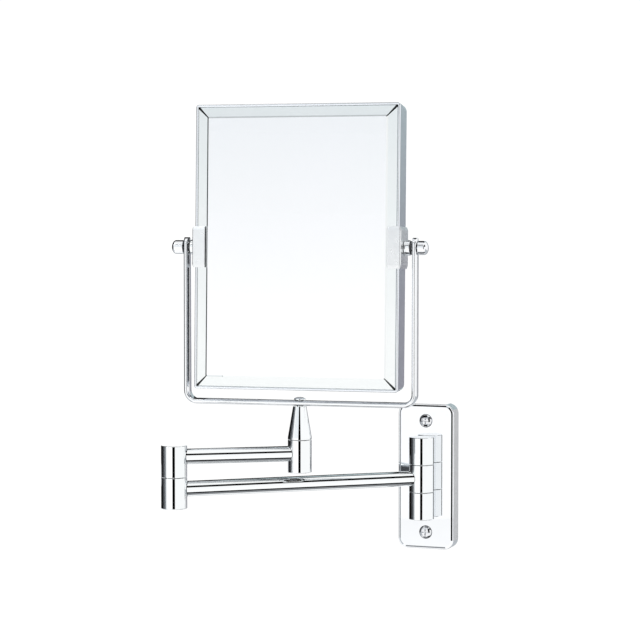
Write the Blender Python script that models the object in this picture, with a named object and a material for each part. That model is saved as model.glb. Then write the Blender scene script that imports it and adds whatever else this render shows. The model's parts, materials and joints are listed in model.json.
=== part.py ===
"""Extendable shaving mirror: a wall plate with a hinge, two swinging arms, a yoke on
a stem, and a two-sided mirror head that tips in the yoke.

Metres, +Z up, +X right, +Y into the wall. The origin is the middle of the wall
plate's back face. The arms, yoke and head are modelled straight, each in the frame
of its own joint axis, and stand at the rest angles named below.
"""
from math import cos, pi, radians, sin

import bmesh
import bpy
from mathutils import Matrix, Vector

# Rest pose, in degrees
LOWER_ARM_OUT = 40.0      # lower arm, out from the wall, pointing left
UPPER_ARM_BACK = 34.0     # upper arm, back towards the wall, pointing right
YOKE_TURN = 5.5           # yoke and head, turned to face right
HEAD_TILT = 2.0           # head, its top leaning back

# Clearances
GAP = 0.0003              # between touching pieces
SLIT = 0.0003             # between two hinge knuckles
OVERSHOOT = 0.001         # how far a cutter starts outside the face it cuts

# Wall plate
PLATE_WIDTH = 0.0465
PLATE_DEPTH = 0.014
PLATE_CORNER = 0.008
PLATE_EDGE = 0.0014       # rounding of the front edge
PLATE_SHEET = 0.0024
SCREW_TO_BARREL = 0.0069  # screw head's edge to the barrel's end
SCREW_TO_EDGE = 0.0135    # screw's centre to the plate's end
PILLAR_RADIUS = 0.0075
WEB_WIDTH = 0.022
COUNTERBORE_DEPTH = 0.006
WEB_BEYOND_BARREL = 0.001  # web past the barrel, each end

# Wall screws
SCREW_HEAD_RADIUS = 0.0051
SCREW_HEAD_SINK = 0.0026
SCREW_DOME = 0.0018
SCREW_SHANK_RADIUS = 0.0022
RECESS_REACH = 0.0031     # cross recess, centre to tip
RECESS_WIDTH = 0.0011
RECESS_DEPTH = 0.0020
RECESS_TAPER = 0.35       # share of the recess lost at its floor

# Hinge barrels
BARREL_RADIUS = 0.010
BARREL_CHAMFER = 0.0004
BARREL_STAND_OFF = 0.0012  # plate face to barrel
WALL_KNUCKLE_HEIGHT = 0.0218
PIN_RADIUS = 0.004
PIN_CHAMFER = 0.0004
CAP_THICKNESS = 0.003     # closed top of a barrel
WASHER_RADIUS = 0.007
WASHER_THICKNESS = 0.001
PLUG_RADIUS = 0.0062
PLUG_THICKNESS = 0.0035
PLUG_CHAMFER = 0.0003
SLOT_WIDTH = 0.0012       # screwdriver slot of a plug or neck screw
SLOT_DEPTH = 0.0012
NECK_WIDTH = 0.010
NECK_HEIGHT = 0.016
ROOT_WALL = 0.0025        # metal left round a bore behind a neck or spigot
NECK_SCREW_RADIUS = 0.0020
NECK_SCREW_HEAD_RADIUS = 0.0038
NECK_SCREW_HEAD_HEIGHT = 0.003
NECK_SCREW_TIP_ROOM = 0.0012  # screw tip to the bore in front of it

# Arms
LOWER_ARM_LENGTH = 0.205  # axis to axis
UPPER_ARM_LENGTH = 0.099
TUBE_RADIUS = 0.006
TUBE_WALL = 0.001
SPIGOT_REACH = 0.012      # beyond the barrel, into the tube
SPIGOT_CHAMFER = 0.0005
ELBOW_BELOW_LOWER = 0.0148  # lower arm's centre line down to its knuckle's end
ELBOW_OVER_LOWER = 0.0032   # lower tube's top up to its knuckle's end
ELBOW_BELOW_UPPER = 0.0155  # upper arm's centre line down to its knuckle's end
ELBOW_OVER_UPPER = 0.0028   # upper tube's top up to its knuckle's end

# Stem: barrel and cone
STEM_RADIUS = 0.0093
STEM_OVER_TUBE = 0.0047   # upper tube's top up to the barrel's end
STEM_BELOW_TUBE = 0.0148  # upper arm's centre line down to the barrel's end
CONE_HEIGHT = 0.0259
CONE_TOP_RADIUS = 0.0052
SPINDLE_RADIUS = 0.0035
SPINDLE_IN_CONE = 0.013
NUT_RADIUS = 0.0058
NUT_HEIGHT = 0.005
NUT_BORE_PLAY = 0.0009    # nut bore over the spindle, as the threads are plain
NUT_ROOM = 0.0063         # depth of the nut's room in the barrel's bottom

# Yoke
YOKE_STRIP = 0.0045       # bar thickness
YOKE_DEPTH = 0.0105       # bar width
YOKE_CORNER = 0.0105      # outer radius
SWING_ROOM = 0.008        # head's lower edge to the bar
YOKE_ABOVE_PIVOT = 0.008
YOKE_EDGE = 0.0012
YOKE_SCREW_RADIUS = 0.0045
YOKE_SCREW_DOME = 0.0020
YOKE_SCREW_RIM = 0.0004
YOKE_SCREW_SHANK = 0.0022
YOKE_SCREW_LENGTH = 0.0085

# Head
HEAD_WIDTH = 0.163
HEAD_HEIGHT = 0.2208
HEAD_DEPTH = 0.023
FRAME_WALL = 0.0015
FRONT_CORNER = 0.002
REAR_CORNER = 0.006
FRAME_EDGE = 0.0006       # rounding of the front rim
REAR_EDGE = 0.0016        # rounding of the rear rim
GLASS_THICKNESS = 0.004
GLASS_PROUD = 0.0008      # flat face of the front glass ahead of the rim
BEVEL_WIDTH = 0.0085
BEVEL_DROP = 0.0018
REAR_GLASS_THICKNESS = 0.003
REAR_GLASS_SUNK = 0.0005
DISH_DEPTH = 0.006        # middle of the magnifying glass behind its edge
DISH_BORDER = 0.0045      # flat border of the magnifying glass
TRAY_FLOOR = 0.0025
TRAY_RIM = 0.003
NOTCH_DEPTH = 0.006       # room in the tray for a stud head, from its side

# Pivots
STUD_RADIUS = 0.003
STUD_HEAD_RADIUS = 0.0045
STUD_HEAD_THICKNESS = 0.002
CLIP_HEIGHT = 0.032
CLIP_THICKNESS = 0.0015
CLIP_LIP = 0.0085         # lips over the front and rear glass
CLIP_LIP_THICKNESS = 0.0008
CLIP_RAMP = 0.0026        # height of the sloping ends
CLIP_END_SHARE = 0.35     # thickness left at the very ends
CLIP_CORNER_SHARE = 0.8   # corner cut, as a share of the lip
BOSS_RADIUS = 0.0059
BOSS_LENGTH = 0.0043
BOSS_CHAMFER = 0.0003
KNOB_RADIUS = 0.0054
KNOB_LENGTHS = {-1: 0.0100, 1: 0.0081}  # the left knob is the longer one
KNOB_DOME = 0.0032
KNOB_CHAMFER = 0.0004
FRICTION_WASHER_RADIUS = 0.0052
FRICTION_WASHER = 0.0008

# Facets
ROUND_STEPS = 32
SMALL_STEPS = 20
CORNER_STEPS = 4
TIP_STEPS = 5

# Sizes that follow
PLATE_FACE_Y = -PLATE_DEPTH
WALL_AXIS_Y = PLATE_FACE_Y - BARREL_STAND_OFF - BARREL_RADIUS
BORE_RADIUS = PIN_RADIUS + GAP
WASHER_ROOM = WASHER_THICKNESS + 2 * GAP - SLIT
WASHER_SEAT = (WASHER_RADIUS + GAP, WASHER_ROOM)
PLUG_SEAT = (PLUG_RADIUS + GAP, PLUG_THICKNESS + GAP)
KNUCKLE_PITCH = WALL_KNUCKLE_HEIGHT + SLIT
BARREL_TOP = WALL_KNUCKLE_HEIGHT / 2 + KNUCKLE_PITCH
SCREW_Z = BARREL_TOP + SCREW_TO_BARREL + SCREW_HEAD_RADIUS
PLATE_HEIGHT = 2 * (SCREW_Z + SCREW_TO_EDGE)
NECK_ROOT = BORE_RADIUS + ROOT_WALL
STEM_ROOT = SPINDLE_RADIUS + GAP + ROOT_WALL
ELBOW_SLIT_LOW = TUBE_RADIUS + ELBOW_OVER_LOWER
ELBOW_SLIT_HIGH = ELBOW_SLIT_LOW + SLIT
UPPER_TUBE_Z = ELBOW_SLIT_HIGH + ELBOW_BELOW_UPPER
ELBOW_TOP = UPPER_TUBE_Z + TUBE_RADIUS + ELBOW_OVER_UPPER
STEM_TOP = UPPER_TUBE_Z + TUBE_RADIUS + STEM_OVER_TUBE
STEM_BOTTOM = UPPER_TUBE_Z - STEM_BELOW_TUBE
CONE_BOTTOM = STEM_TOP + SLIT
CONE_TOP = CONE_BOTTOM + CONE_HEIGHT
YOKE_UNDERSIDE = CONE_TOP + GAP
PIVOT_Z = YOKE_UNDERSIDE + YOKE_STRIP + SWING_ROOM + HEAD_HEIGHT / 2
FRAME_HALF_WIDTH = HEAD_WIDTH / 2
CLIP_FACE = FRAME_HALF_WIDTH + GAP + CLIP_THICKNESS
BOSS_END = CLIP_FACE + GAP + BOSS_LENGTH
YOKE_FACE = BOSS_END + GAP + FRICTION_WASHER + GAP
YOKE_WIDTH = 2 * (YOKE_FACE + YOKE_STRIP)
STUD_HOLE = STUD_RADIUS + GAP
GLASS_INSET = FRAME_WALL + 2 * GAP
GLASS_WIDTH = HEAD_WIDTH - 2 * GLASS_INSET
GLASS_HEIGHT = HEAD_HEIGHT - 2 * GLASS_INSET
FRONT_GLASS_Y = -HEAD_DEPTH / 2 - GLASS_PROUD
FRONT_GLASS_BACK = FRONT_GLASS_Y + GLASS_THICKNESS
REAR_GLASS_Y = HEAD_DEPTH / 2 - REAR_GLASS_SUNK
TRAY_TOP = FRONT_GLASS_BACK + GAP + TRAY_FLOOR

FINISHES = {
    "chrome": ((0.86, 0.87, 0.88), 0.06, 1.0),
    "steel": ((0.62, 0.62, 0.63), 0.28, 1.0),
    "brass": ((0.72, 0.58, 0.33), 0.30, 1.0),
    "nylon": ((0.08, 0.08, 0.08), 0.55, 0.0),
    "abs": ((0.10, 0.10, 0.11), 0.60, 0.0),
    "mirror": ((0.95, 0.96, 0.96), 0.02, 1.0),
}


def clear_scene():
    for thing in list(bpy.data.objects):
        bpy.data.objects.remove(thing, do_unlink=True)


def finish_material(slot):
    found = bpy.data.materials.get(slot)
    if found:
        return found
    colour, roughness, metallic = FINISHES[slot]
    made = bpy.data.materials.new(slot)
    made.use_nodes = True
    shader = made.node_tree.nodes["Principled BSDF"]
    shader.inputs["Base Color"].default_value = (*colour, 1.0)
    shader.inputs["Roughness"].default_value = roughness
    shader.inputs["Metallic"].default_value = metallic
    return made


def axis_frame(name, parent, place, turn=None):
    """An empty that stands on a joint's axis."""
    empty = bpy.data.objects.new(name, None)
    bpy.context.scene.collection.objects.link(empty)
    empty.parent = parent
    empty.location = place
    if turn:
        empty.rotation_euler = turn
    return empty


def put(name, bm, parent, slot):
    """Turn a bmesh into a named, smooth-shaded object."""
    bmesh.ops.recalc_face_normals(bm, faces=bm.faces)
    mesh = bpy.data.meshes.new(name)
    bm.to_mesh(mesh)
    bm.free()
    mesh.shade_smooth()
    mesh.set_sharp_from_angle(angle=radians(30))
    piece = bpy.data.objects.new(name, mesh)
    piece.parent = parent
    bpy.context.scene.collection.objects.link(piece)
    if slot:
        mesh.materials.append(finish_material(slot))
    return piece


def guide(name, bm, parent):
    """A shape that only cuts or joins."""
    shape = put(name, bm, parent, None)
    shape.hide_render = True
    shape.display_type = "WIRE"
    return shape


def combine(piece, operation, name, bm):
    shape = guide(name, bm, piece.parent)
    step = piece.modifiers.new(name, "BOOLEAN")
    step.operation = operation
    step.solver = "EXACT"
    step.object = shape


def cut(piece, name, bm):
    combine(piece, "DIFFERENCE", piece.name + "_" + name, bm)


def join(piece, name, bm):
    combine(piece, "UNION", piece.name + "_" + name, bm)


def turned(profile, closed=False, steps=ROUND_STEPS):
    """Spin (radius, height) points round Z; a closed profile makes a ring."""
    bm = bmesh.new()
    points = [bm.verts.new((radius, 0.0, height)) for radius, height in profile]
    edges = [bm.edges.new(pair) for pair in zip(points, points[1:])]
    if closed:
        edges.append(bm.edges.new((points[-1], points[0])))
    bmesh.ops.spin(
        bm, geom=points + edges, cent=(0, 0, 0), axis=(0, 0, 1),
        angle=2 * pi, steps=steps, use_merge=True, use_duplicate=False)
    bmesh.ops.remove_doubles(bm, verts=bm.verts, dist=1e-6)
    return bm


def rod(radius, low, high, chamfer=0.0, steps=ROUND_STEPS):
    """A solid cylinder on Z, its two rims chamfered."""
    profile = [(0.0, low)]
    if chamfer:
        profile += [(radius - chamfer, low), (radius, low + chamfer)]
        profile += [(radius, high - chamfer), (radius - chamfer, high)]
    else:
        profile += [(radius, low), (radius, high)]
    profile.append((0.0, high))
    return turned(profile, steps=steps)


def ring(inner, outer, low, high, chamfer=0.0, steps=ROUND_STEPS):
    """A ring on Z, its two outer rims chamfered."""
    profile = [(inner, low)]
    if chamfer:
        profile += [(outer - chamfer, low), (outer, low + chamfer)]
        profile += [(outer, high - chamfer), (outer - chamfer, high)]
    else:
        profile += [(outer, low), (outer, high)]
    profile.append((inner, high))
    return turned(profile, closed=True, steps=steps)


def along(bm, direction, place=(0.0, 0.0, 0.0)):
    """Turn a shape made on Z to point along a direction, and move it."""
    turn = Vector((0, 0, 1)).rotation_difference(Vector(direction)).to_matrix().to_4x4()
    bmesh.ops.transform(bm, matrix=Matrix.Translation(place) @ turn, verts=bm.verts)
    return bm


def block(low, high):
    """A box between two opposite corners."""
    bm = bmesh.new()
    size = [b - a for a, b in zip(low, high)]
    middle = [(a + b) / 2 for a, b in zip(low, high)]
    place = Matrix.Translation(middle) @ Matrix.Diagonal((*size, 1.0))
    bmesh.ops.create_cube(bm, size=1.0, matrix=place)
    return bm


def loft(loops, closed=False):
    """Skin loops of equal length; the ends are capped unless the loft is closed."""
    bm = bmesh.new()
    rings = [[bm.verts.new(point) for point in loop] for loop in loops]
    pairs = list(zip(rings, rings[1:]))
    if closed:
        pairs.append((rings[-1], rings[0]))
    for first, second in pairs:
        for i in range(len(first)):
            j = (i + 1) % len(first)
            bm.faces.new((first[i], first[j], second[j], second[i]))
    if not closed:
        bm.faces.new(rings[0])
        bm.faces.new(rings[-1])
    return bm


def rounded_loop(width, height, corner, y, steps=CORNER_STEPS):
    """A rounded rectangle that faces along Y."""
    points = []
    for side_x, side_z, start in ((1, 1, 0), (-1, 1, 90), (-1, -1, 180), (1, -1, 270)):
        for step in range(steps + 1):
            angle = radians(start + 90 * step / steps)
            x = side_x * (width / 2 - corner) + corner * cos(angle)
            z = side_z * (height / 2 - corner) + corner * sin(angle)
            points.append((x, y, z))
    return points


def cross_prism(reach, width, low, high, slant=0.0):
    """A plus-shaped prism on Z that narrows towards its low end."""
    loops = []
    for z, scale in ((low, 1.0 - slant), (high, 1.0)):
        a, b = reach * scale, width / 2 * scale
        corners = [(a, b), (b, b), (b, a), (-b, a), (-b, b), (-a, b)]
        corners += [(-x, -y) for x, y in corners]
        loops.append([(x, y, z) for x, y in corners])
    return loft(loops)


def knuckle_profile(low, high, cap=0.0, top_room=None, bottom_room=None):
    """Half section of a hinge knuckle; rooms are (radius, depth) recesses."""
    outer, edge = BARREL_RADIUS, BARREL_CHAMFER
    profile = [(outer - edge, high), (outer, high - edge), (outer, low + edge), (outer - edge, low)]
    floor = low
    if bottom_room:
        floor = low + bottom_room[1]
        profile += [(bottom_room[0], low), (bottom_room[0], floor)]
    profile.append((BORE_RADIUS, floor))
    if cap:
        return [(0.0, high)] + profile + [(BORE_RADIUS, high - cap), (0.0, high - cap)]
    ceiling = high
    if top_room:
        ceiling = high - top_room[1]
    profile.append((BORE_RADIUS, ceiling))
    if top_room:
        profile += [(top_room[0], ceiling), (top_room[0], high)]
    return profile


def add_spigot(knuckle, radius, root, side, height):
    """Join the stub that an arm's tube slides over."""
    stub = rod(TUBE_RADIUS - TUBE_WALL - GAP, 0.0, SPIGOT_REACH + radius - root,
               chamfer=SPIGOT_CHAMFER, steps=SMALL_STEPS)
    join(knuckle, "spigot", along(stub, (side, 0, 0), (side * root, 0, height)))


def wall_plate(root):
    inset = PLATE_SHEET
    inner = (PLATE_WIDTH - 2 * inset, PLATE_HEIGHT - 2 * inset, PLATE_CORNER - inset)
    loops = [
        rounded_loop(*inner, PLATE_FACE_Y + PLATE_SHEET),
        rounded_loop(*inner, 0.0),
        rounded_loop(PLATE_WIDTH, PLATE_HEIGHT, PLATE_CORNER, 0.0),
    ]
    for step in range(CORNER_STEPS + 1):
        angle = pi / 2 * step / CORNER_STEPS
        inward = PLATE_EDGE * (1 - cos(angle))
        y = PLATE_FACE_Y + PLATE_EDGE * (1 - sin(angle))
        loops.append(rounded_loop(
            PLATE_WIDTH - 2 * inward, PLATE_HEIGHT - 2 * inward, PLATE_CORNER - inward, y))
    plate = put("wall_plate", loft(loops), root, "chrome")
    half_web = BARREL_TOP + WEB_BEYOND_BARREL
    inside = PLATE_FACE_Y + PLATE_SHEET / 2
    join(plate, "web", block((-WEB_WIDTH / 2, inside, -half_web), (WEB_WIDTH / 2, 0.0, half_web)))
    for side in (-1, 1):
        mark = "low" if side < 0 else "high"
        z = side * SCREW_Z
        pillar = rod(PILLAR_RADIUS, 0.0, -inside, steps=SMALL_STEPS)
        join(plate, "pillar_" + mark, along(pillar, (0, -1, 0), (0, 0, z)))
    for side in (-1, 1):
        mark = "low" if side < 0 else "high"
        z = side * SCREW_Z
        cut(plate, "screw_hole_" + mark, along(screw_hole(), (0, -1, 0), (0, PLATE_FACE_Y, z)))
        z = side * KNUCKLE_PITCH
        hole = turned([
            (0.0, -OVERSHOOT),
            (NECK_SCREW_HEAD_RADIUS + GAP, -OVERSHOOT),
            (NECK_SCREW_HEAD_RADIUS + GAP, COUNTERBORE_DEPTH),
            (NECK_SCREW_RADIUS + GAP, COUNTERBORE_DEPTH),
            (NECK_SCREW_RADIUS + GAP, PLATE_DEPTH + OVERSHOOT),
            (0.0, PLATE_DEPTH + OVERSHOOT)], steps=SMALL_STEPS)
        cut(plate, "neck_hole_" + mark, along(hole, (0, -1, 0), (0, 0, z)))
    return plate


def screw_hole():
    """Countersunk hole; height 0 is the plate's face."""
    wide = SCREW_HEAD_RADIUS + GAP
    narrow = SCREW_SHANK_RADIUS + GAP
    return turned([
        (0.0, -PLATE_DEPTH - OVERSHOOT),
        (narrow, -PLATE_DEPTH - OVERSHOOT),
        (narrow, -SCREW_HEAD_SINK - GAP),
        (wide, -GAP),
        (wide, OVERSHOOT),
        (0.0, OVERSHOOT)], steps=SMALL_STEPS)


def wall_screw(root, side, name):
    """Raised countersunk screw with a cross recess."""
    dome = [(SCREW_HEAD_RADIUS * sin(a), SCREW_DOME * cos(a))
            for a in (pi / 2 * step / CORNER_STEPS for step in range(CORNER_STEPS + 1))]
    shank_end = -(PLATE_DEPTH - GAP)
    profile = dome + [
        (SCREW_SHANK_RADIUS, -SCREW_HEAD_SINK),
        (SCREW_SHANK_RADIUS, shank_end + SCREW_SHANK_RADIUS / 2),
        (SCREW_SHANK_RADIUS / 2, shank_end),
        (0.0, shank_end)]
    place = (0, PLATE_FACE_Y, side * SCREW_Z)
    screw = put(name, along(turned(profile, steps=SMALL_STEPS), (0, -1, 0), place), root, "steel")
    recess = cross_prism(RECESS_REACH, RECESS_WIDTH, SCREW_DOME - RECESS_DEPTH,
                         SCREW_DOME + OVERSHOOT, slant=RECESS_TAPER)
    cut(screw, "recess", along(recess, (0, -1, 0), place))


def wall_knuckle(axis, side, name):
    """Outer knuckle of the wall hinge, with the neck that stands on the plate."""
    middle = side * KNUCKLE_PITCH
    low = middle - WALL_KNUCKLE_HEIGHT / 2
    high = middle + WALL_KNUCKLE_HEIGHT / 2
    if side > 0:
        shape = turned(knuckle_profile(low, high, cap=CAP_THICKNESS))
    else:
        profile = knuckle_profile(low, high, top_room=WASHER_SEAT, bottom_room=PLUG_SEAT)
        shape = turned(profile, closed=True)
    knuckle = put(name, shape, axis, "chrome")
    face = BARREL_RADIUS + BARREL_STAND_OFF - GAP
    join(knuckle, "neck", block(
        (-NECK_WIDTH / 2, NECK_ROOT, middle - NECK_HEIGHT / 2),
        (NECK_WIDTH / 2, face, middle + NECK_HEIGHT / 2)))
    floor = BORE_RADIUS + NECK_SCREW_TIP_ROOM - 2 * GAP
    hole = rod(NECK_SCREW_RADIUS + GAP, floor, face + OVERSHOOT, steps=SMALL_STEPS)
    cut(knuckle, "thread", along(hole, (0, 1, 0), (0, 0, middle)))


def neck_screw(axis, side, name):
    """Cheese-head screw from behind the plate into a neck."""
    seat = PLATE_DEPTH - COUNTERBORE_DEPTH + BARREL_STAND_OFF + BARREL_RADIUS + GAP
    head_top = seat + NECK_SCREW_HEAD_HEIGHT
    tip = BORE_RADIUS + NECK_SCREW_TIP_ROOM
    shape = turned([
        (0.0, tip), (NECK_SCREW_RADIUS, tip), (NECK_SCREW_RADIUS, seat),
        (NECK_SCREW_HEAD_RADIUS, seat), (NECK_SCREW_HEAD_RADIUS, head_top),
        (0.0, head_top)], steps=SMALL_STEPS)
    z = side * KNUCKLE_PITCH
    screw = put(name, along(shape, (0, 1, 0), (0, 0, z)), axis, "steel")
    reach = NECK_SCREW_HEAD_RADIUS + OVERSHOOT
    cut(screw, "slot", block(
        (-SLOT_WIDTH / 2, head_top - SLOT_DEPTH, z - reach),
        (SLOT_WIDTH / 2, head_top + OVERSHOOT, z + reach)))


def hinge_pin(axis, name, barrel_bottom, barrel_top):
    low = barrel_bottom + PLUG_THICKNESS + 2 * GAP
    high = barrel_top - CAP_THICKNESS - GAP
    put(name, rod(PIN_RADIUS, low, high, chamfer=PIN_CHAMFER, steps=SMALL_STEPS), axis, "steel")


def hinge_plug(axis, name, barrel_bottom):
    """Slotted plug that closes a barrel from below."""
    shape = rod(PLUG_RADIUS, barrel_bottom, barrel_bottom + PLUG_THICKNESS,
                chamfer=PLUG_CHAMFER, steps=SMALL_STEPS)
    plug = put(name, shape, axis, "steel")
    cut(plug, "slot", block(
        (-PLUG_RADIUS - OVERSHOOT, -SLOT_WIDTH / 2, barrel_bottom - OVERSHOOT),
        (PLUG_RADIUS + OVERSHOOT, SLOT_WIDTH / 2, barrel_bottom + SLOT_DEPTH)))


def hinge_washer(axis, name, seat_face):
    """Washer that lies in the room in a knuckle's top face."""
    low = seat_face - WASHER_ROOM + GAP
    shape = ring(BORE_RADIUS, WASHER_RADIUS, low, low + WASHER_THICKNESS, steps=SMALL_STEPS)
    put(name, shape, axis, "nylon")


def arm_tube(axis, name, length, height, far_radius):
    """Tube from one barrel to the next, its ends shaped to the barrels."""
    shape = ring(TUBE_RADIUS - TUBE_WALL, TUBE_RADIUS, 0.0, length)
    tube = put(name, along(shape, (1, 0, 0), (0, 0, height)), axis, "chrome")
    for mark, x, radius in (("near", 0.0, BARREL_RADIUS), ("far", length, far_radius)):
        cope = rod(radius + GAP, height - 2 * TUBE_RADIUS, height + 2 * TUBE_RADIUS)
        cut(tube, "cope_" + mark, along(cope, (0, 0, 1), (x, 0, 0)))


def lower_arm(axis, elbow):
    half = WALL_KNUCKLE_HEIGHT / 2
    profile = knuckle_profile(-half, half, top_room=WASHER_SEAT)
    knuckle = put("lower_arm_knuckle", turned(profile, closed=True), axis, "chrome")
    add_spigot(knuckle, BARREL_RADIUS, NECK_ROOT, 1, 0.0)
    arm_tube(axis, "lower_arm_tube", LOWER_ARM_LENGTH, 0.0, BARREL_RADIUS)
    profile = knuckle_profile(
        -ELBOW_BELOW_LOWER, ELBOW_SLIT_LOW, top_room=WASHER_SEAT, bottom_room=PLUG_SEAT)
    lower_half = put("elbow_knuckle_lower", turned(profile, closed=True), elbow, "chrome")
    add_spigot(lower_half, BARREL_RADIUS, NECK_ROOT, -1, 0.0)
    hinge_pin(elbow, "elbow_pin", -ELBOW_BELOW_LOWER, ELBOW_TOP)
    hinge_plug(elbow, "elbow_plug", -ELBOW_BELOW_LOWER)
    hinge_washer(elbow, "elbow_washer", ELBOW_SLIT_LOW)


def upper_arm(axis, stem):
    profile = knuckle_profile(ELBOW_SLIT_HIGH, ELBOW_TOP, cap=CAP_THICKNESS)
    upper_half = put("elbow_knuckle_upper", turned(profile), axis, "chrome")
    add_spigot(upper_half, BARREL_RADIUS, NECK_ROOT, 1, UPPER_TUBE_Z)
    arm_tube(axis, "upper_arm_tube", UPPER_ARM_LENGTH, UPPER_TUBE_Z, STEM_RADIUS)
    edge = BARREL_CHAMFER
    nut_room = NUT_RADIUS + 2 * GAP
    barrel = put("stem_barrel", turned([
        (STEM_RADIUS - edge, STEM_TOP), (STEM_RADIUS, STEM_TOP - edge),
        (STEM_RADIUS, STEM_BOTTOM + edge), (STEM_RADIUS - edge, STEM_BOTTOM),
        (nut_room, STEM_BOTTOM), (nut_room, STEM_BOTTOM + NUT_ROOM),
        (SPINDLE_RADIUS + GAP, STEM_BOTTOM + NUT_ROOM),
        (SPINDLE_RADIUS + GAP, STEM_TOP - WASHER_ROOM),
        (WASHER_RADIUS + GAP, STEM_TOP - WASHER_ROOM),
        (WASHER_RADIUS + GAP, STEM_TOP)], closed=True), stem, "chrome")
    add_spigot(barrel, STEM_RADIUS, STEM_ROOT, -1, UPPER_TUBE_Z)


def stem_parts(stem):
    put("stem_cone", turned([
        (0.0, CONE_BOTTOM + SPINDLE_IN_CONE + GAP),
        (SPINDLE_RADIUS + GAP, CONE_BOTTOM + SPINDLE_IN_CONE + GAP),
        (SPINDLE_RADIUS + GAP, CONE_BOTTOM),
        (STEM_RADIUS - BARREL_CHAMFER, CONE_BOTTOM),
        (STEM_RADIUS, CONE_BOTTOM + BARREL_CHAMFER),
        (CONE_TOP_RADIUS, CONE_TOP),
        (YOKE_SCREW_SHANK + GAP, CONE_TOP),
        (YOKE_SCREW_SHANK + GAP, CONE_TOP - YOKE_SCREW_LENGTH),
        (0.0, CONE_TOP - YOKE_SCREW_LENGTH)]), stem, "chrome")
    low = STEM_BOTTOM + 2 * GAP
    high = CONE_BOTTOM + SPINDLE_IN_CONE
    shape = rod(SPINDLE_RADIUS, low, high, chamfer=PIN_CHAMFER, steps=SMALL_STEPS)
    put("stem_spindle", shape, stem, "steel")
    nut_top = STEM_BOTTOM + NUT_ROOM - GAP
    nut = ring(SPINDLE_RADIUS + NUT_BORE_PLAY, NUT_RADIUS, nut_top - NUT_HEIGHT, nut_top, steps=6)
    put("stem_nut", nut, stem, "brass")
    low = STEM_TOP - WASHER_ROOM + GAP
    washer = ring(SPINDLE_RADIUS + GAP, WASHER_RADIUS, low, low + WASHER_THICKNESS, steps=SMALL_STEPS)
    put("stem_washer", washer, stem, "nylon")


def yoke_stations():
    """Centre line of the bar from the left tip to the right, as (place, normal, half width)."""
    half_depth = YOKE_DEPTH / 2
    x = YOKE_WIDTH / 2 - YOKE_STRIP / 2
    bend = YOKE_CORNER - YOKE_STRIP / 2
    bottom = YOKE_UNDERSIDE + YOKE_STRIP / 2
    tip = PIVOT_Z + YOKE_ABOVE_PIVOT
    left = []
    for step in range(1, TIP_STEPS + 1):
        angle = pi / 2 * step / TIP_STEPS
        z = tip - half_depth * (1 - cos(angle))
        left.append(((-x, z), (-1.0, 0.0), half_depth * sin(angle)))
    for step in range(CORNER_STEPS + 2):
        angle = pi / 2 * step / (CORNER_STEPS + 1)
        normal = (-cos(angle), -sin(angle))
        place = (-x + bend + bend * normal[0], bottom + bend + bend * normal[1])
        left.append((place, normal, half_depth))
    right = [((-p[0], p[1]), (-n[0], n[1]), w) for p, n, w in reversed(left)]
    return left + right


def yoke_strip(yoke):
    loops = []
    half, edge = YOKE_STRIP / 2, YOKE_EDGE
    for (x, z), (nx, nz), width in yoke_stations():
        rim = min(edge, width / 2)
        section = [
            (half, width - rim), (half - edge, width), (edge - half, width), (-half, width - rim),
            (-half, rim - width), (edge - half, -width), (half - edge, -width), (half, rim - width)]
        loops.append([(x + nx * out, y, z + nz * out) for out, y in section])
    strip = put("yoke_strip", loft(loops), yoke, "chrome")
    through = 2 * YOKE_STRIP
    for mark, side in (("left", -1), ("right", 1)):
        hole = rod(STUD_HOLE, -through, through, steps=SMALL_STEPS)
        cut(strip, "hole_" + mark, along(hole, (1, 0, 0), (side * YOKE_FACE, 0, PIVOT_Z)))
    hole = rod(YOKE_SCREW_SHANK + GAP, -through, through, steps=SMALL_STEPS)
    cut(strip, "hole_middle", along(hole, (0, 0, 1), (0, 0, YOKE_UNDERSIDE)))


def yoke_screw(yoke):
    seat = YOKE_UNDERSIDE + YOKE_STRIP + GAP
    rim = seat + YOKE_SCREW_RIM
    dome = [(YOKE_SCREW_RADIUS * sin(a), rim + (YOKE_SCREW_DOME - YOKE_SCREW_RIM) * cos(a))
            for a in (pi / 2 * step / CORNER_STEPS for step in range(CORNER_STEPS + 1))]
    tip = CONE_TOP - YOKE_SCREW_LENGTH + GAP
    put("yoke_screw", turned(dome + [
        (YOKE_SCREW_RADIUS, seat), (YOKE_SCREW_SHANK, seat), (YOKE_SCREW_SHANK, tip), (0.0, tip)],
        steps=SMALL_STEPS), yoke, "chrome")


def friction_washer(yoke, side, name):
    outer = YOKE_FACE - GAP
    shape = ring(STUD_HOLE, FRICTION_WASHER_RADIUS, outer - FRICTION_WASHER, outer, steps=SMALL_STEPS)
    put(name, along(shape, (side, 0, 0), (0, 0, PIVOT_Z)), yoke, "nylon")


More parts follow.
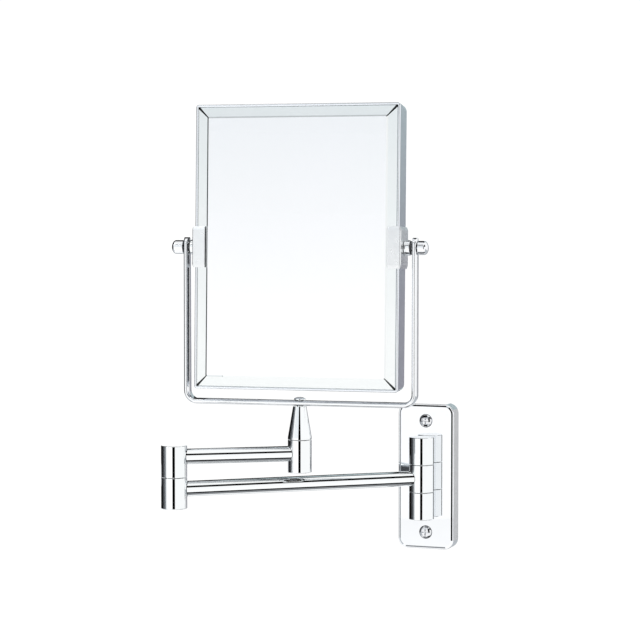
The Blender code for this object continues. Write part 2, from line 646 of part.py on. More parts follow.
def head_frame(head):
    """Band round both glasses; its corners are tight in front and rounder behind."""
    rear = HEAD_DEPTH / 2
    loops = []
    for step in range(CORNER_STEPS):
        angle = pi / 2 * step / (CORNER_STEPS - 1)
        inward = FRAME_EDGE * (1 - sin(angle))
        loops.append(rounded_loop(
            HEAD_WIDTH - 2 * inward, HEAD_HEIGHT - 2 * inward,
            FRONT_CORNER - inward, -rear + FRAME_EDGE * (1 - cos(angle))))
    for step in range(CORNER_STEPS + 1):
        angle = pi / 2 * step / CORNER_STEPS
        inward = REAR_EDGE * (1 - cos(angle))
        loops.append(rounded_loop(
            HEAD_WIDTH - 2 * inward, HEAD_HEIGHT - 2 * inward,
            REAR_CORNER - inward, rear - REAR_EDGE * (1 - sin(angle))))
    inner = (HEAD_WIDTH - 2 * FRAME_WALL - 2 * GAP, HEAD_HEIGHT - 2 * FRAME_WALL - 2 * GAP)
    loops.append(rounded_loop(*inner, REAR_CORNER - FRAME_WALL - GAP, rear))
    loops.append(rounded_loop(*inner, FRONT_CORNER - FRAME_WALL, -rear))
    band = put("head_frame", loft(loops, closed=True), head, "chrome")
    for mark, side in (("left", -1), ("right", 1)):
        hole = rod(STUD_HOLE, -4 * FRAME_WALL, 4 * FRAME_WALL, steps=SMALL_STEPS)
        cut(band, "hole_" + mark, along(hole, (1, 0, 0), (side * FRAME_HALF_WIDTH, 0, 0)))


def front_mirror(head):
    """Flat glass with a bevelled border."""
    corner = FRONT_CORNER - FRAME_WALL
    narrow = (GLASS_WIDTH - 2 * BEVEL_WIDTH, GLASS_HEIGHT - 2 * BEVEL_WIDTH)
    put("front_mirror", loft([
        rounded_loop(GLASS_WIDTH, GLASS_HEIGHT, corner, FRONT_GLASS_BACK, steps=2),
        rounded_loop(GLASS_WIDTH, GLASS_HEIGHT, corner, FRONT_GLASS_Y + BEVEL_DROP, steps=2),
        rounded_loop(*narrow, corner / 4, FRONT_GLASS_Y, steps=2)]), head, "mirror")


def dish_lines(size, cells):
    """Grid lines across the rear glass as (place, share of the dish's half width)."""
    half = size / 2
    reach = half - DISH_BORDER
    inner = [(reach * (2 * i / cells - 1), 2 * i / cells - 1) for i in range(cells + 1)]
    return [(-half, -1.0)] + inner + [(half, 1.0)]


def rear_mirror(head):
    """Magnifying glass: an even sheet, flat at its border and dished inside it."""
    across, upright = dish_lines(GLASS_WIDTH, 8), dish_lines(GLASS_HEIGHT, 10)
    trim = (REAR_CORNER - GLASS_INSET) * (1 - cos(pi / 4))
    bm = bmesh.new()
    sheets = []
    for lift in (0.0, -REAR_GLASS_THICKNESS):
        grid = []
        for z, v in upright:
            line = []
            for x, u in across:
                at_corner = abs(x) == GLASS_WIDTH / 2 and abs(z) == GLASS_HEIGHT / 2
                cut_back = trim if at_corner else 0.0
                y = REAR_GLASS_Y - DISH_DEPTH * (1 - u * u) * (1 - v * v) + lift
                line.append(bm.verts.new((x - u * cut_back, y, z - v * cut_back)))
            grid.append(line)
        sheets.append(grid)
        for first, second in zip(grid, grid[1:]):
            for i in range(len(first) - 1):
                bm.faces.new((first[i], first[i + 1], second[i + 1], second[i]))
    outer, inner = [
        grid[0][:-1] + [line[-1] for line in grid[:-1]]
        + grid[-1][:0:-1] + [line[0] for line in grid[:0:-1]]
        for grid in sheets]
    for i in range(len(outer)):
        j = (i + 1) % len(outer)
        bm.faces.new((outer[i], outer[j], inner[j], inner[i]))
    put("rear_mirror", bm, head, "mirror")


def backing_tray(head):
    """Moulded tray that carries both glasses; notched for the stud heads."""
    width = HEAD_WIDTH - 2 * FRAME_WALL - 4 * GAP
    height = HEAD_HEIGHT - 2 * FRAME_WALL - 4 * GAP
    corner = REAR_CORNER - FRAME_WALL
    bottom = FRONT_GLASS_BACK + GAP
    rim_top = REAR_GLASS_Y - REAR_GLASS_THICKNESS - GAP
    hollow = (width - 2 * TRAY_RIM, height - 2 * TRAY_RIM, corner - TRAY_RIM)
    tray = put("backing_tray", loft([
        rounded_loop(width, height, corner, bottom),
        rounded_loop(width, height, corner, rim_top),
        rounded_loop(*hollow, rim_top),
        rounded_loop(*hollow, TRAY_TOP)]), head, "abs")
    for mark, side in (("left", -1), ("right", 1)):
        near, far = width / 2 - NOTCH_DEPTH, width / 2 + OVERSHOOT
        room = STUD_HEAD_RADIUS + GAP
        ends = sorted((side * near, side * far))
        cut(tray, "notch_" + mark, block(
            (ends[0], -room, -room), (ends[1], rim_top + OVERSHOOT, room)))


def stud(head, side, name):
    """Threaded stud with its flat head inside the band."""
    inner = FRAME_HALF_WIDTH - FRAME_WALL - 2 * GAP
    end = YOKE_WIDTH / 2 + KNOB_LENGTHS[side] - KNOB_DOME - GAP
    shape = turned([
        (0.0, inner - STUD_HEAD_THICKNESS), (STUD_HEAD_RADIUS, inner - STUD_HEAD_THICKNESS),
        (STUD_HEAD_RADIUS, inner), (STUD_RADIUS, inner), (STUD_RADIUS, end), (0.0, end)],
        steps=SMALL_STEPS)
    put(name, along(shape, (side, 0, 0)), head, "steel")


def clip(head, side, name):
    """Saddle over the band: a side plate with a lip over each glass and sloping ends."""
    inner_x = FRAME_HALF_WIDTH + GAP
    front_in = FRONT_GLASS_Y - GAP
    rear_in = HEAD_DEPTH / 2 + GAP
    lip_x = FRAME_HALF_WIDTH - CLIP_LIP
    half = CLIP_HEIGHT / 2
    loops = []
    thin = CLIP_END_SHARE
    for z, share in ((-half, thin), (CLIP_RAMP - half, 1.0), (half - CLIP_RAMP, 1.0), (half, thin)):
        front_out = front_in - CLIP_LIP_THICKNESS * share
        rear_out = rear_in + CLIP_LIP_THICKNESS * share
        outer_x = inner_x + CLIP_THICKNESS * share
        corner = CLIP_CORNER_SHARE * CLIP_LIP_THICKNESS * share
        section = [
            (lip_x, front_in), (lip_x, front_out), (outer_x - corner, front_out),
            (outer_x, front_out + corner), (outer_x, rear_out - corner),
            (outer_x - corner, rear_out), (lip_x, rear_out), (lip_x, rear_in),
            (inner_x, rear_in), (inner_x, front_in)]
        loops.append([(side * x, y, z) for x, y in section])
    saddle = put(name, loft(loops), head, "chrome")
    hole = rod(STUD_HOLE, -3 * CLIP_THICKNESS, 3 * CLIP_THICKNESS, steps=SMALL_STEPS)
    cut(saddle, "hole", along(hole, (1, 0, 0), (side * CLIP_FACE, 0, 0)))


def boss(head, side, name):
    low = CLIP_FACE + GAP
    shape = ring(STUD_HOLE, BOSS_RADIUS, low, BOSS_END, chamfer=BOSS_CHAMFER, steps=SMALL_STEPS)
    put(name, along(shape, (side, 0, 0)), head, "chrome")


def knob(head, side, name):
    """Domed nut on the stud's outer end."""
    base = YOKE_WIDTH / 2 + GAP
    tip = YOKE_WIDTH / 2 + KNOB_LENGTHS[side]
    shoulder = tip - KNOB_DOME
    profile = [(0.0, shoulder), (STUD_HOLE, shoulder), (STUD_HOLE, base),
               (KNOB_RADIUS - KNOB_CHAMFER, base), (KNOB_RADIUS, base + KNOB_CHAMFER)]
    for step in range(CORNER_STEPS + 1):
        angle = pi / 2 * step / CORNER_STEPS
        profile.append((KNOB_RADIUS * cos(angle), shoulder + KNOB_DOME * sin(angle)))
    profile[-1] = (0.0, tip)
    put(name, along(turned(profile, steps=SMALL_STEPS), (side, 0, 0)), head, "chrome")


def build():
    clear_scene()
    root = axis_frame("wall_frame", None, (0, 0, 0))
    wall_axis = axis_frame("wall_axis", root, (0, WALL_AXIS_Y, 0))
    lower_axis = axis_frame("lower_arm_axis", wall_axis, (0, 0, 0), (0, 0, radians(180 + LOWER_ARM_OUT)))
    elbow_end = axis_frame("lower_arm_end", lower_axis, (LOWER_ARM_LENGTH, 0, 0))
    upper_axis = axis_frame("upper_arm_axis", elbow_end, (0, 0, 0),
                            (0, 0, radians(UPPER_ARM_BACK - 180 - LOWER_ARM_OUT)))
    stem_end = axis_frame("upper_arm_end", upper_axis, (UPPER_ARM_LENGTH, 0, 0))
    yoke_axis = axis_frame("yoke_axis", stem_end, (0, 0, 0), (0, 0, radians(YOKE_TURN - UPPER_ARM_BACK)))
    head_axis = axis_frame("head_axis", yoke_axis, (0, 0, PIVOT_Z), (radians(-HEAD_TILT), 0, 0))

    wall_plate(root)
    for side, place in ((1, "upper"), (-1, "lower")):
        wall_screw(root, side, "wall_screw_" + place)
        wall_knuckle(wall_axis, side, "wall_knuckle_" + place)
        neck_screw(wall_axis, side, "neck_screw_" + place)
    hinge_pin(wall_axis, "wall_hinge_pin", -BARREL_TOP, BARREL_TOP)
    hinge_plug(wall_axis, "wall_hinge_plug", -BARREL_TOP)
    hinge_washer(wall_axis, "wall_washer_lower", -WALL_KNUCKLE_HEIGHT / 2 - SLIT)
    hinge_washer(wall_axis, "wall_washer_upper", WALL_KNUCKLE_HEIGHT / 2)

    lower_arm(lower_axis, elbow_end)
    upper_arm(upper_axis, stem_end)
    stem_parts(yoke_axis)
    yoke_strip(yoke_axis)
    yoke_screw(yoke_axis)

    head_frame(head_axis)
    front_mirror(head_axis)
    rear_mirror(head_axis)
    backing_tray(head_axis)
    for side, place in ((-1, "left"), (1, "right")):
        friction_washer(yoke_axis, side, "pivot_washer_" + place)
        stud(head_axis, side, "stud_" + place)
        clip(head_axis, side, "clip_" + place)
        boss(head_axis, side, "boss_" + place)
        knob(head_axis, side, "knob_" + place)


build()
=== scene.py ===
import json
from math import cos, pi, radians, sin, tan

import bmesh
import bpy
import numpy as np
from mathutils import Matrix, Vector


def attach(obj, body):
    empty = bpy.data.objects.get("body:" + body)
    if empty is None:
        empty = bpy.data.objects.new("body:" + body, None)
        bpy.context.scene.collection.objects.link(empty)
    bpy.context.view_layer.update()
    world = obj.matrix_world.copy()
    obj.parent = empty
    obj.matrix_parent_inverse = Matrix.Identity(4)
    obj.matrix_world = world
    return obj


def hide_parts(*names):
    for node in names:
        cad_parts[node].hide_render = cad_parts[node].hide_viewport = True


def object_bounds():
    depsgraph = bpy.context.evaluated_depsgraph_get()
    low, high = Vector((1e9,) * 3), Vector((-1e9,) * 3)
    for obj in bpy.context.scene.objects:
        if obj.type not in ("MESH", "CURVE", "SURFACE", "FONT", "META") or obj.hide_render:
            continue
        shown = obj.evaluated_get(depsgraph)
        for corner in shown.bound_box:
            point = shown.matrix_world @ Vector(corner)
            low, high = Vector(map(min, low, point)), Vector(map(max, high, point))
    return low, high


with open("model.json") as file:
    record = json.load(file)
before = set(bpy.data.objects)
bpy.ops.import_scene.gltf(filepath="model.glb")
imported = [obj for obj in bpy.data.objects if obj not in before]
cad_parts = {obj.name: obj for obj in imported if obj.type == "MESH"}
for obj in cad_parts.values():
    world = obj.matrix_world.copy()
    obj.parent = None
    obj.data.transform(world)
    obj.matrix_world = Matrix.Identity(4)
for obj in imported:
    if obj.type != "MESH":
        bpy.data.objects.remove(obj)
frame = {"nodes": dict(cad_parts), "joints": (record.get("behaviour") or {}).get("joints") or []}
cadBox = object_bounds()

print("frame loaded:", len(frame["nodes"]), "CAD nodes")

joints = {joint["name"]: joint for joint in frame["joints"]}
wallAxis = np.array(joints["lower_arm_swing"]["pos_m"])
elbowAxis = np.array(joints["upper_arm_swing"]["pos_m"])
stemAxis = np.array(joints["yoke_swivel"]["pos_m"])
pivotPoint = np.array(joints["head_tilt"]["pos_m"])
pivotLine = np.array(joints["head_tilt"]["axis"])
upright = np.array([0.0, 0.0, 1.0])


def nodePoints(node):
    # A CAD node's points, one row each
    data = frame["nodes"][node].data
    points = np.empty(len(data.vertices) * 3, np.float32)
    data.vertices.foreach_get("co", points)
    return points.reshape(-1, 3).astype(float)


def largestFaceNormal(node):
    # Unit normal of the node's largest triangle
    data = frame["nodes"][node].data
    areas = np.empty(len(data.polygons), np.float32)
    normals = np.empty(len(data.polygons) * 3, np.float32)
    data.polygons.foreach_get("area", areas)
    data.polygons.foreach_get("normal", normals)
    return normals.reshape(-1, 3)[areas.argmax()].astype(float)


def standAt(origin, along, up=upright):
    # A 4 x 4 matrix: X along the first direction, Z as near the second as it can be, Y to complete them
    x = along / np.linalg.norm(along)
    y = np.cross(up, x)
    y /= np.linalg.norm(y)
    place = np.identity(4)
    place[:3, 0], place[:3, 1], place[:3, 2], place[:3, 3] = x, y, np.cross(x, y), origin
    return place


def localBox(node, place):
    # Lowest and highest corner of a CAD node, measured along the axes of a place
    points = (nodePoints(node) - place[:3, 3]) @ place[:3, :3]
    return points.min(0), points.max(0)


glassNormal = largestFaceNormal("front_mirror")
glassNormal *= np.sign(glassNormal[1])
wallPlace = np.identity(4)
hingePlace = standAt(wallAxis, np.array([1.0, 0.0, 0.0]))
lowerPlace = standAt(wallAxis, elbowAxis - wallAxis)
elbowPlace = standAt(elbowAxis, elbowAxis - wallAxis)
upperPlace = standAt(elbowAxis, stemAxis - elbowAxis)
stemPlace = standAt(stemAxis, stemAxis - elbowAxis)
yokePlace = standAt(stemAxis, pivotLine)
headPlace = standAt(pivotPoint, pivotLine, np.cross(pivotLine, glassNormal))


def hexLinear(code):
    # sRGB hex to linear: (s / 12.92) below 0.04045, else ((s + 0.055) / 1.055) to the power 2.4
    s = np.array([int(code[i:i + 2], 16) for i in (1, 3, 5)]) / 255
    return tuple(np.where(s <= 0.04045, s / 12.92, ((s + 0.055) / 1.055) ** 2.4)) + (1.0,)


def addNode(tree, kind, settings=None, links=None):
    # Adds a shader node; a setting is a property or an input's value, a link brings an output to an input
    node = tree.nodes.new("ShaderNode" + kind)
    for key, value in (settings or {}).items():
        if isinstance(key, str) and hasattr(node, key):
            setattr(node, key, value)
        else:
            node.inputs[key].default_value = value
    for key, source in (links or {}).items():
        tree.links.new(source, node.inputs[key])
    return node


def newMaterial(name, fixed):
    # A material whose Principled shader has its even values set on its own sockets
    material = bpy.data.materials.new(name)
    material.use_nodes = True
    shader = material.node_tree.nodes["Principled BSDF"]
    for socket, value in fixed.items():
        shader.inputs[socket].default_value = value
    return material, material.node_tree, shader


def drive(tree, shader, outputs):
    # Brings patterns to the sockets of a material's own shader
    for socket, output in outputs.items():
        tree.links.new(output, shader.inputs[socket])


def perMetre(size):
    return 1.0 / size    # a pattern's scale from the size of one feature in metres


def platedMetal(name, look):
    # Bright plating over a polished or cast body: long soft waves left by the body, thin films of
    # wiped water that dull it in patches, and hair-fine buffing lines
    material, tree, shader = newMaterial(name, {"Metallic": 1.0})
    coords = addNode(tree, "TexCoord").outputs["Object"]
    stretched = addNode(tree, "Mapping", {"Scale": look["grain"]}, {"Vector": coords})
    waves = addNode(tree, "TexNoise", {"Scale": perMetre(look["waveSize"]), "Detail": 1.0},
                    {"Vector": coords})
    film = addNode(tree, "TexNoise", {"Scale": perMetre(look["filmSize"]), "Detail": 4.0, "Roughness": 0.6},
                   {"Vector": coords})
    hairs = addNode(tree, "TexNoise", {"Scale": perMetre(look["hairSize"]), "Detail": 2.0},
                    {"Vector": stretched.outputs["Vector"]})
    dulled = addNode(tree, "MapRange", {
        "From Min": 0.35, "From Max": 0.75,
        "To Min": look["roughness"][0], "To Max": look["roughness"][1]}, {"Value": film.outputs["Fac"]})
    toned = addNode(tree, "Mix", {"data_type": "RGBA", 6: hexLinear(look["colours"][0]),
                                  7: hexLinear(look["colours"][1])}, {0: film.outputs["Fac"]})
    broad = addNode(tree, "Bump", {"Strength": 1.0, "Distance": look["waveHeight"]},
                    {"Height": waves.outputs["Fac"]})
    fine = addNode(tree, "Bump", {"Strength": 1.0, "Distance": look["hairHeight"]},
                   {"Height": hairs.outputs["Fac"], "Normal": broad.outputs["Normal"]})
    drive(tree, shader, {"Base Color": toned.outputs[2], "Roughness": dulled.outputs["Result"],
                         "Normal": fine.outputs["Normal"]})
    return material


# Chrome over a zinc die casting: bright, but the casting leaves faint long waves under the plating
castChrome = platedMetal("chromedZincCasting", {
    "colours": ("#F4F6F8", "#EFF1F4"), "roughness": (0.012, 0.035), "filmSize": 0.011, "grain": (1, 1, 1),
    "waveSize": 0.016, "waveHeight": 0.000010, "hairSize": 0.0012, "hairHeight": 0.0000001})
# Chrome over buffed brass: the brightest finish on the piece, with only a breath of buffing round it
polishedChrome = platedMetal("chromedBrassBuffed", {
    "colours": ("#F7F9FA", "#F2F5F6"), "roughness": (0.008, 0.02), "filmSize": 0.009, "grain": (1, 1, 0.15),
    "waveSize": 0.020, "waveHeight": 0.000004, "hairSize": 0.0010, "hairHeight": 0.0000001})
# Chrome over rolled steel strip: rolling leaves faint lines along the strip, and the tone is a little cooler
frameChrome = platedMetal("chromedSteelStrip", {
    "colours": ("#F1F4F8", "#E9EDF2"), "roughness": (0.02, 0.045), "filmSize": 0.010, "grain": (1, 1, 0.05),
    "waveSize": 0.024, "waveHeight": 0.000006, "hairSize": 0.0008, "hairHeight": 0.0000002})
# Chrome over pressed steel, brushed before plating: a satin skin that spreads what it reflects
satinChrome = platedMetal("chromedSteelSatin", {
    "colours": ("#EFF1F2", "#E8EAEC"), "roughness": (0.26, 0.34), "filmSize": 0.008, "grain": (1, 1, 0.1),
    "waveSize": 0.020, "waveHeight": 0.000004, "hairSize": 0.0006, "hairHeight": 0.0000006})
# Chrome over tumbled brass: knobs and yoke are a shade softer than the barrels
turnedChrome = platedMetal("chromedBrassTumbled", {
    "colours": ("#F5F6F8", "#EFF1F3"), "roughness": (0.07, 0.12), "filmSize": 0.006, "grain": (1, 1, 0.3),
    "waveSize": 0.012, "waveHeight": 0.000006, "hairSize": 0.0008, "hairHeight": 0.0000002})
# Stainless screws, cold headed and tumbled: bright crowns with a satin haze
screwSteel = platedMetal("stainlessTumbled", {
    "colours": ("#ECEDEF", "#DCDEE1"), "roughness": (0.02, 0.06), "filmSize": 0.002, "grain": (1, 1, 1),
    "waveSize": 0.004, "waveHeight": 0.000006, "hairSize": 0.0005, "hairHeight": 0.0000006})
# Carbon steel pins, centreless ground: grey with rings of grinding round them
pinSteel = platedMetal("steelGround", {
    "colours": ("#B9BBBF", "#A5A7AC"), "roughness": (0.22, 0.34), "filmSize": 0.003, "grain": (0.1, 0.1, 1),
    "waveSize": 0.010, "waveHeight": 0.000002, "hairSize": 0.0004, "hairHeight": 0.0000020})
# Brass bar, turned and dull nickel plated: grey with a trace of warmth and fine tool rings
nickelBrass = platedMetal("nickelledBrassTurned", {
    "colours": ("#A9A59C", "#98948B"), "roughness": (0.20, 0.32), "filmSize": 0.003, "grain": (0.1, 0.1, 1),
    "waveSize": 0.008, "waveHeight": 0.000002, "hairSize": 0.0004, "hairHeight": 0.0000020})


def mouldedPlastic(name, look):
    # Moulded plastic: one colour through and through, with the fine spark grain of the mould
    material, tree, shader = newMaterial(name, {"IOR": look["ior"]})
    coords = addNode(tree, "TexCoord").outputs["Object"]
    grain = addNode(tree, "TexNoise", {"Scale": perMetre(look["grainSize"]), "Detail": 3.0},
                    {"Vector": coords})
    tone = addNode(tree, "Mix", {"data_type": "RGBA", 6: hexLinear(look["colours"][0]),
                                 7: hexLinear(look["colours"][1])}, {0: grain.outputs["Fac"]})
    gloss = addNode(tree, "MapRange", {"To Min": look["roughness"][0], "To Max": look["roughness"][1]},
                    {"Value": grain.outputs["Fac"]})
    sparked = addNode(tree, "Bump", {"Strength": 1.0, "Distance": look["grainHeight"]},
                      {"Height": grain.outputs["Fac"]})
    drive(tree, shader, {"Base Color": tone.outputs[2], "Roughness": gloss.outputs["Result"],
                         "Normal": sparked.outputs["Normal"]})
    return material


# Black nylon 6, turned from rod: low sheen, dark
nylon = mouldedPlastic("nylonTurned", {
    "ior": 1.53, "colours": ("#1B1B1D", "#242426"), "roughness": (0.35, 0.5),
    "grainSize": 0.0006, "grainHeight": 0.000004})
# Black ABS, moulded with a spark-eroded skin
trayAbs = mouldedPlastic("absMoulded", {
    "ior": 1.53, "colours": ("#202124", "#2A2B2E"), "roughness": (0.5, 0.65),
    "grainSize": 0.0009, "grainHeight": 0.000012})


def silveredGlass(name, look):
    # Float glass silvered behind: a clean mirror, a touch cooler where the light goes through more glass,
    # with a very faint wave from the float bath
    material, tree, shader = newMaterial(name, {"Metallic": 1.0, "Roughness": look["roughness"]})
    coords = addNode(tree, "TexCoord").outputs["Object"]
    cloud = addNode(tree, "TexNoise", {"Scale": perMetre(look["cloudSize"]), "Detail": 1.0},
                    {"Vector": coords})
    tint = addNode(tree, "Mix", {"data_type": "RGBA", 6: hexLinear(look["colours"][0]),
                                 7: hexLinear(look["colours"][1])}, {0: cloud.outputs["Fac"]})
    wave = addNode(tree, "Bump", {"Strength": 1.0, "Distance": look["waveHeight"]},
                   {"Height": cloud.outputs["Fac"]})
    drive(tree, shader, {"Base Color": tint.outputs[2], "Normal": wave.outputs["Normal"]})
    return material


# The flat of the mirror: no roughness, all but colourless
mirrorFace = silveredGlass("floatGlassSilvered", {
    "roughness": 0.0, "colours": ("#F8F8FA", "#F6F7F8"), "cloudSize": 0.07, "waveHeight": 0.000004})
# Its ground and polished border: a trace greener, and a breath less sharp than the flat
mirrorBevel = silveredGlass("floatGlassBevelled", {
    "roughness": 0.01, "colours": ("#EEF0F0", "#EAEEEE"), "cloudSize": 0.05, "waveHeight": 0.000004})
# The narrow corners where two bevels meet, left unpolished; their near-black colour is painted shade that
# draws the dark mitre lines
mirrorMitrePaintedDark = silveredGlass("floatGlassMitrePaintedShade", {
    "roughness": 0.12, "colours": ("#242626", "#303333"), "cloudSize": 0.01, "waveHeight": 0.000004})
print("materials made:", len(bpy.data.materials))


# Shared by all pieces; an arc or its holding point takes at most a share of the section's side
build = {"merge": 1e-7, "sharpAngle": 32, "smallSides": 64, "arcShare": 0.49, "holdShare": 0.3}
clearance = 0.0003      # between touching pieces, as everywhere in the frame


def skin(loops, closed=False, capped=False):
    # Quads between neighbouring loops of a (loops, points, 3) array, each loop closed on itself; the last
    # loop joins the first when closed, and the end loops become faces when capped
    rows, columns = loops.shape[:2]
    i = np.arange(rows if closed else rows - 1)[:, None] * columns
    j = np.arange(columns)[None, :]
    nextI = (i + columns) % (rows * columns)
    nextJ = (j + 1) % columns
    faces = np.stack([i + j, i + nextJ, nextI + nextJ, nextI + j], axis=2).reshape(-1, 4).tolist()
    if capped:
        faces.append(list(range(columns)))
        faces.append(list(range((rows - 1) * columns, rows * columns)))
    return loops.reshape(-1, 3), faces


def meshObject(name, points, faces, place):
    # A mesh in the shared frame from points in a place's own axes; coinciding points are merged, and the
    # faces are turned round if they enclose a negative volume
    world = points @ place[:3, :3].T + place[:3, 3]
    mesh = bpy.data.meshes.new(name)
    mesh.from_pydata(world.tolist(), [], faces)
    solid = bmesh.new()
    solid.from_mesh(mesh)
    bmesh.ops.remove_doubles(solid, verts=solid.verts, dist=build["merge"])
    bmesh.ops.recalc_face_normals(solid, faces=solid.faces)
    if solid.calc_volume(signed=True) < 0:
        bmesh.ops.reverse_faces(solid, faces=solid.faces)
    solid.to_mesh(mesh)
    solid.free()
    piece = bpy.data.objects.new(name, mesh)
    bpy.context.scene.collection.objects.link(piece)
    return piece


def combine(piece, operation, tools):
    # Cuts tools out of a piece, or joins them to it, and keeps the result as the piece's own mesh
    for tool in tools:
        step = piece.modifiers.new(operation, "BOOLEAN")
        step.operation, step.solver, step.object = operation, "EXACT", tool
    bpy.context.view_layer.update()
    seen = piece.evaluated_get(bpy.context.evaluated_depsgraph_get())
    made = bpy.data.meshes.new_from_object(seen)
    piece.modifiers.clear()
    piece.data = made
    for tool in tools:
        bpy.data.objects.remove(tool)


def finishPiece(piece, body, slot, nodes, *materials):
    # Shades a piece, gives it its materials, and puts it in its nodes' place
    piece.data.shade_smooth()
    piece.data.set_sharp_from_angle(angle=radians(build["sharpAngle"]))
    if not piece.data.materials:
        for material in materials:
            piece.data.materials.append(material)
    for k, material in enumerate(materials):
        piece.data.materials[k] = material
    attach(piece, body)
    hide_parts(*nodes)


def softSection(corners, closed=False, steps=6, hold=0.00012):
    # Rounds the corners of a section given as (across, along, rounding): each corner gives way to an arc
    # that touches both its sides, with a holding point a little way down each side
    flat = np.array([corner[:2] for corner in corners], float)
    out = []
    for k, (point, rounding) in enumerate(zip(flat, [corner[2] for corner in corners])):
        if rounding == 0 or (not closed and k in (0, len(flat) - 1)):
            out.append(point[None])
            continue
        before, after = flat[k - 1] - point, flat[(k + 1) % len(flat)] - point
        reach = min(np.linalg.norm(before), np.linalg.norm(after))
        u, w = before / np.linalg.norm(before), after / np.linalg.norm(after)
        half = np.arccos(np.clip(u @ w, -1, 1)) / 2
        run = min(rounding / tan(half), build["arcShare"] * reach)
        radius = run * tan(half)
        centre = point + (u + w) / np.linalg.norm(u + w) * radius / sin(half)
        first, last = point + u * run - centre, point + w * run - centre
        whole = pi - 2 * half
        t = np.linspace(0, 1, steps + 1)[:, None]
        arc = centre + (np.sin((1 - t) * whole) * first + np.sin(t * whole) * last) / sin(whole)
        beyond = run + min(hold, build["holdShare"] * (reach - 2 * run))
        out.append(np.array([point + u * beyond, *arc, point + w * beyond]))
    return np.concatenate(out)


def turned(section, sides=build["smallSides"]):
    # Turns (radius, height) points round Z: x = radius cos a, y = radius sin a
    angle = np.linspace(0, 2 * pi, sides, endpoint=False)
    radius, height = section[:, :1], section[:, 1:2]
    tall = np.broadcast_to(height, (len(section), sides))
    return np.stack([radius * np.cos(angle), radius * np.sin(angle), tall], axis=2)


def domed(radius, foot, height, steps):
    # A quarter of an ellipse, crown first: radius times the sine, foot + height times the cosine
    t = np.linspace(0, pi / 2, steps + 1)[:, None]
    return np.concatenate([radius * np.sin(t), foot + height * np.cos(t)], axis=1)


def alongX(loops, side=1):
    # Lays a shape made on Z along X, towards its positive or negative end
    return np.stack([side * loops[..., 2], loops[..., 1], loops[..., 0]], axis=-1)


def alongY(loops):
    # Lays a shape made on Z so that its top faces along -Y
    return np.stack([loops[..., 0], -loops[..., 2], loops[..., 1]], axis=-1)


def block(name, low, high, place):
    # The eight corners between two opposite ones
    low, high = np.array(low), np.array(high)
    square = [(0, 0), (1, 0), (1, 1), (0, 1)]
    unit = np.array([[(x, y, z) for x, y in square] for z in (0, 1)], float)
    return meshObject(name, *skin(low + unit * (high - low), capped=True), place)


def rod(name, radius, low, high, place, lay=lambda loops: loops, at=(0, 0, 0)):
    # A plain round bar between two heights, then laid and moved
    section = np.array([(0, low), (radius, low), (radius, high), (0, high)], float)
    points, faces = skin(lay(turned(section)))
    return meshObject(name, points + np.array(at), faces, place)


plateLook = {
    "corner": 0.008, "edge": 0.0009, "chamfer": 0.0012, "chamferDrop": 0.00042, "soft": 0.00025,
    "rim": 0.0004, "flatFrom": 0.75, "sheet": 0.0024, "pillar": 0.0075, "web": 0.022,
    "webBeyondBarrel": 0.001, "sinkDepth": 0.0026, "screwBore": 0.0025, "neckBore": 0.0023,
    "counterbore": 0.006, "past": 0.001,
    "cornerSteps": 14, "edgeSteps": 12}


def rectLoops(width, height, corner, rows, steps):
    # Rounded rectangles that face along Y, one for each (inset, y): an arc about each corner's centre, its
    # radius being the corner radius less the inset
    quarter = np.linspace(0, pi / 2, steps + 1)
    angle = np.concatenate([quarter + k * pi / 2 for k in range(4)])
    signX = np.repeat([1, -1, -1, 1], steps + 1)
    signZ = np.repeat([1, 1, -1, -1], steps + 1)
    inset, y = rows[:, :1], rows[:, 1:2]
    x = signX * (width / 2 - corner) + (corner - inset) * np.cos(angle)
    z = signZ * (height / 2 - corner) + (corner - inset) * np.sin(angle)
    return np.stack([x, np.broadcast_to(y, x.shape), z], axis=2)


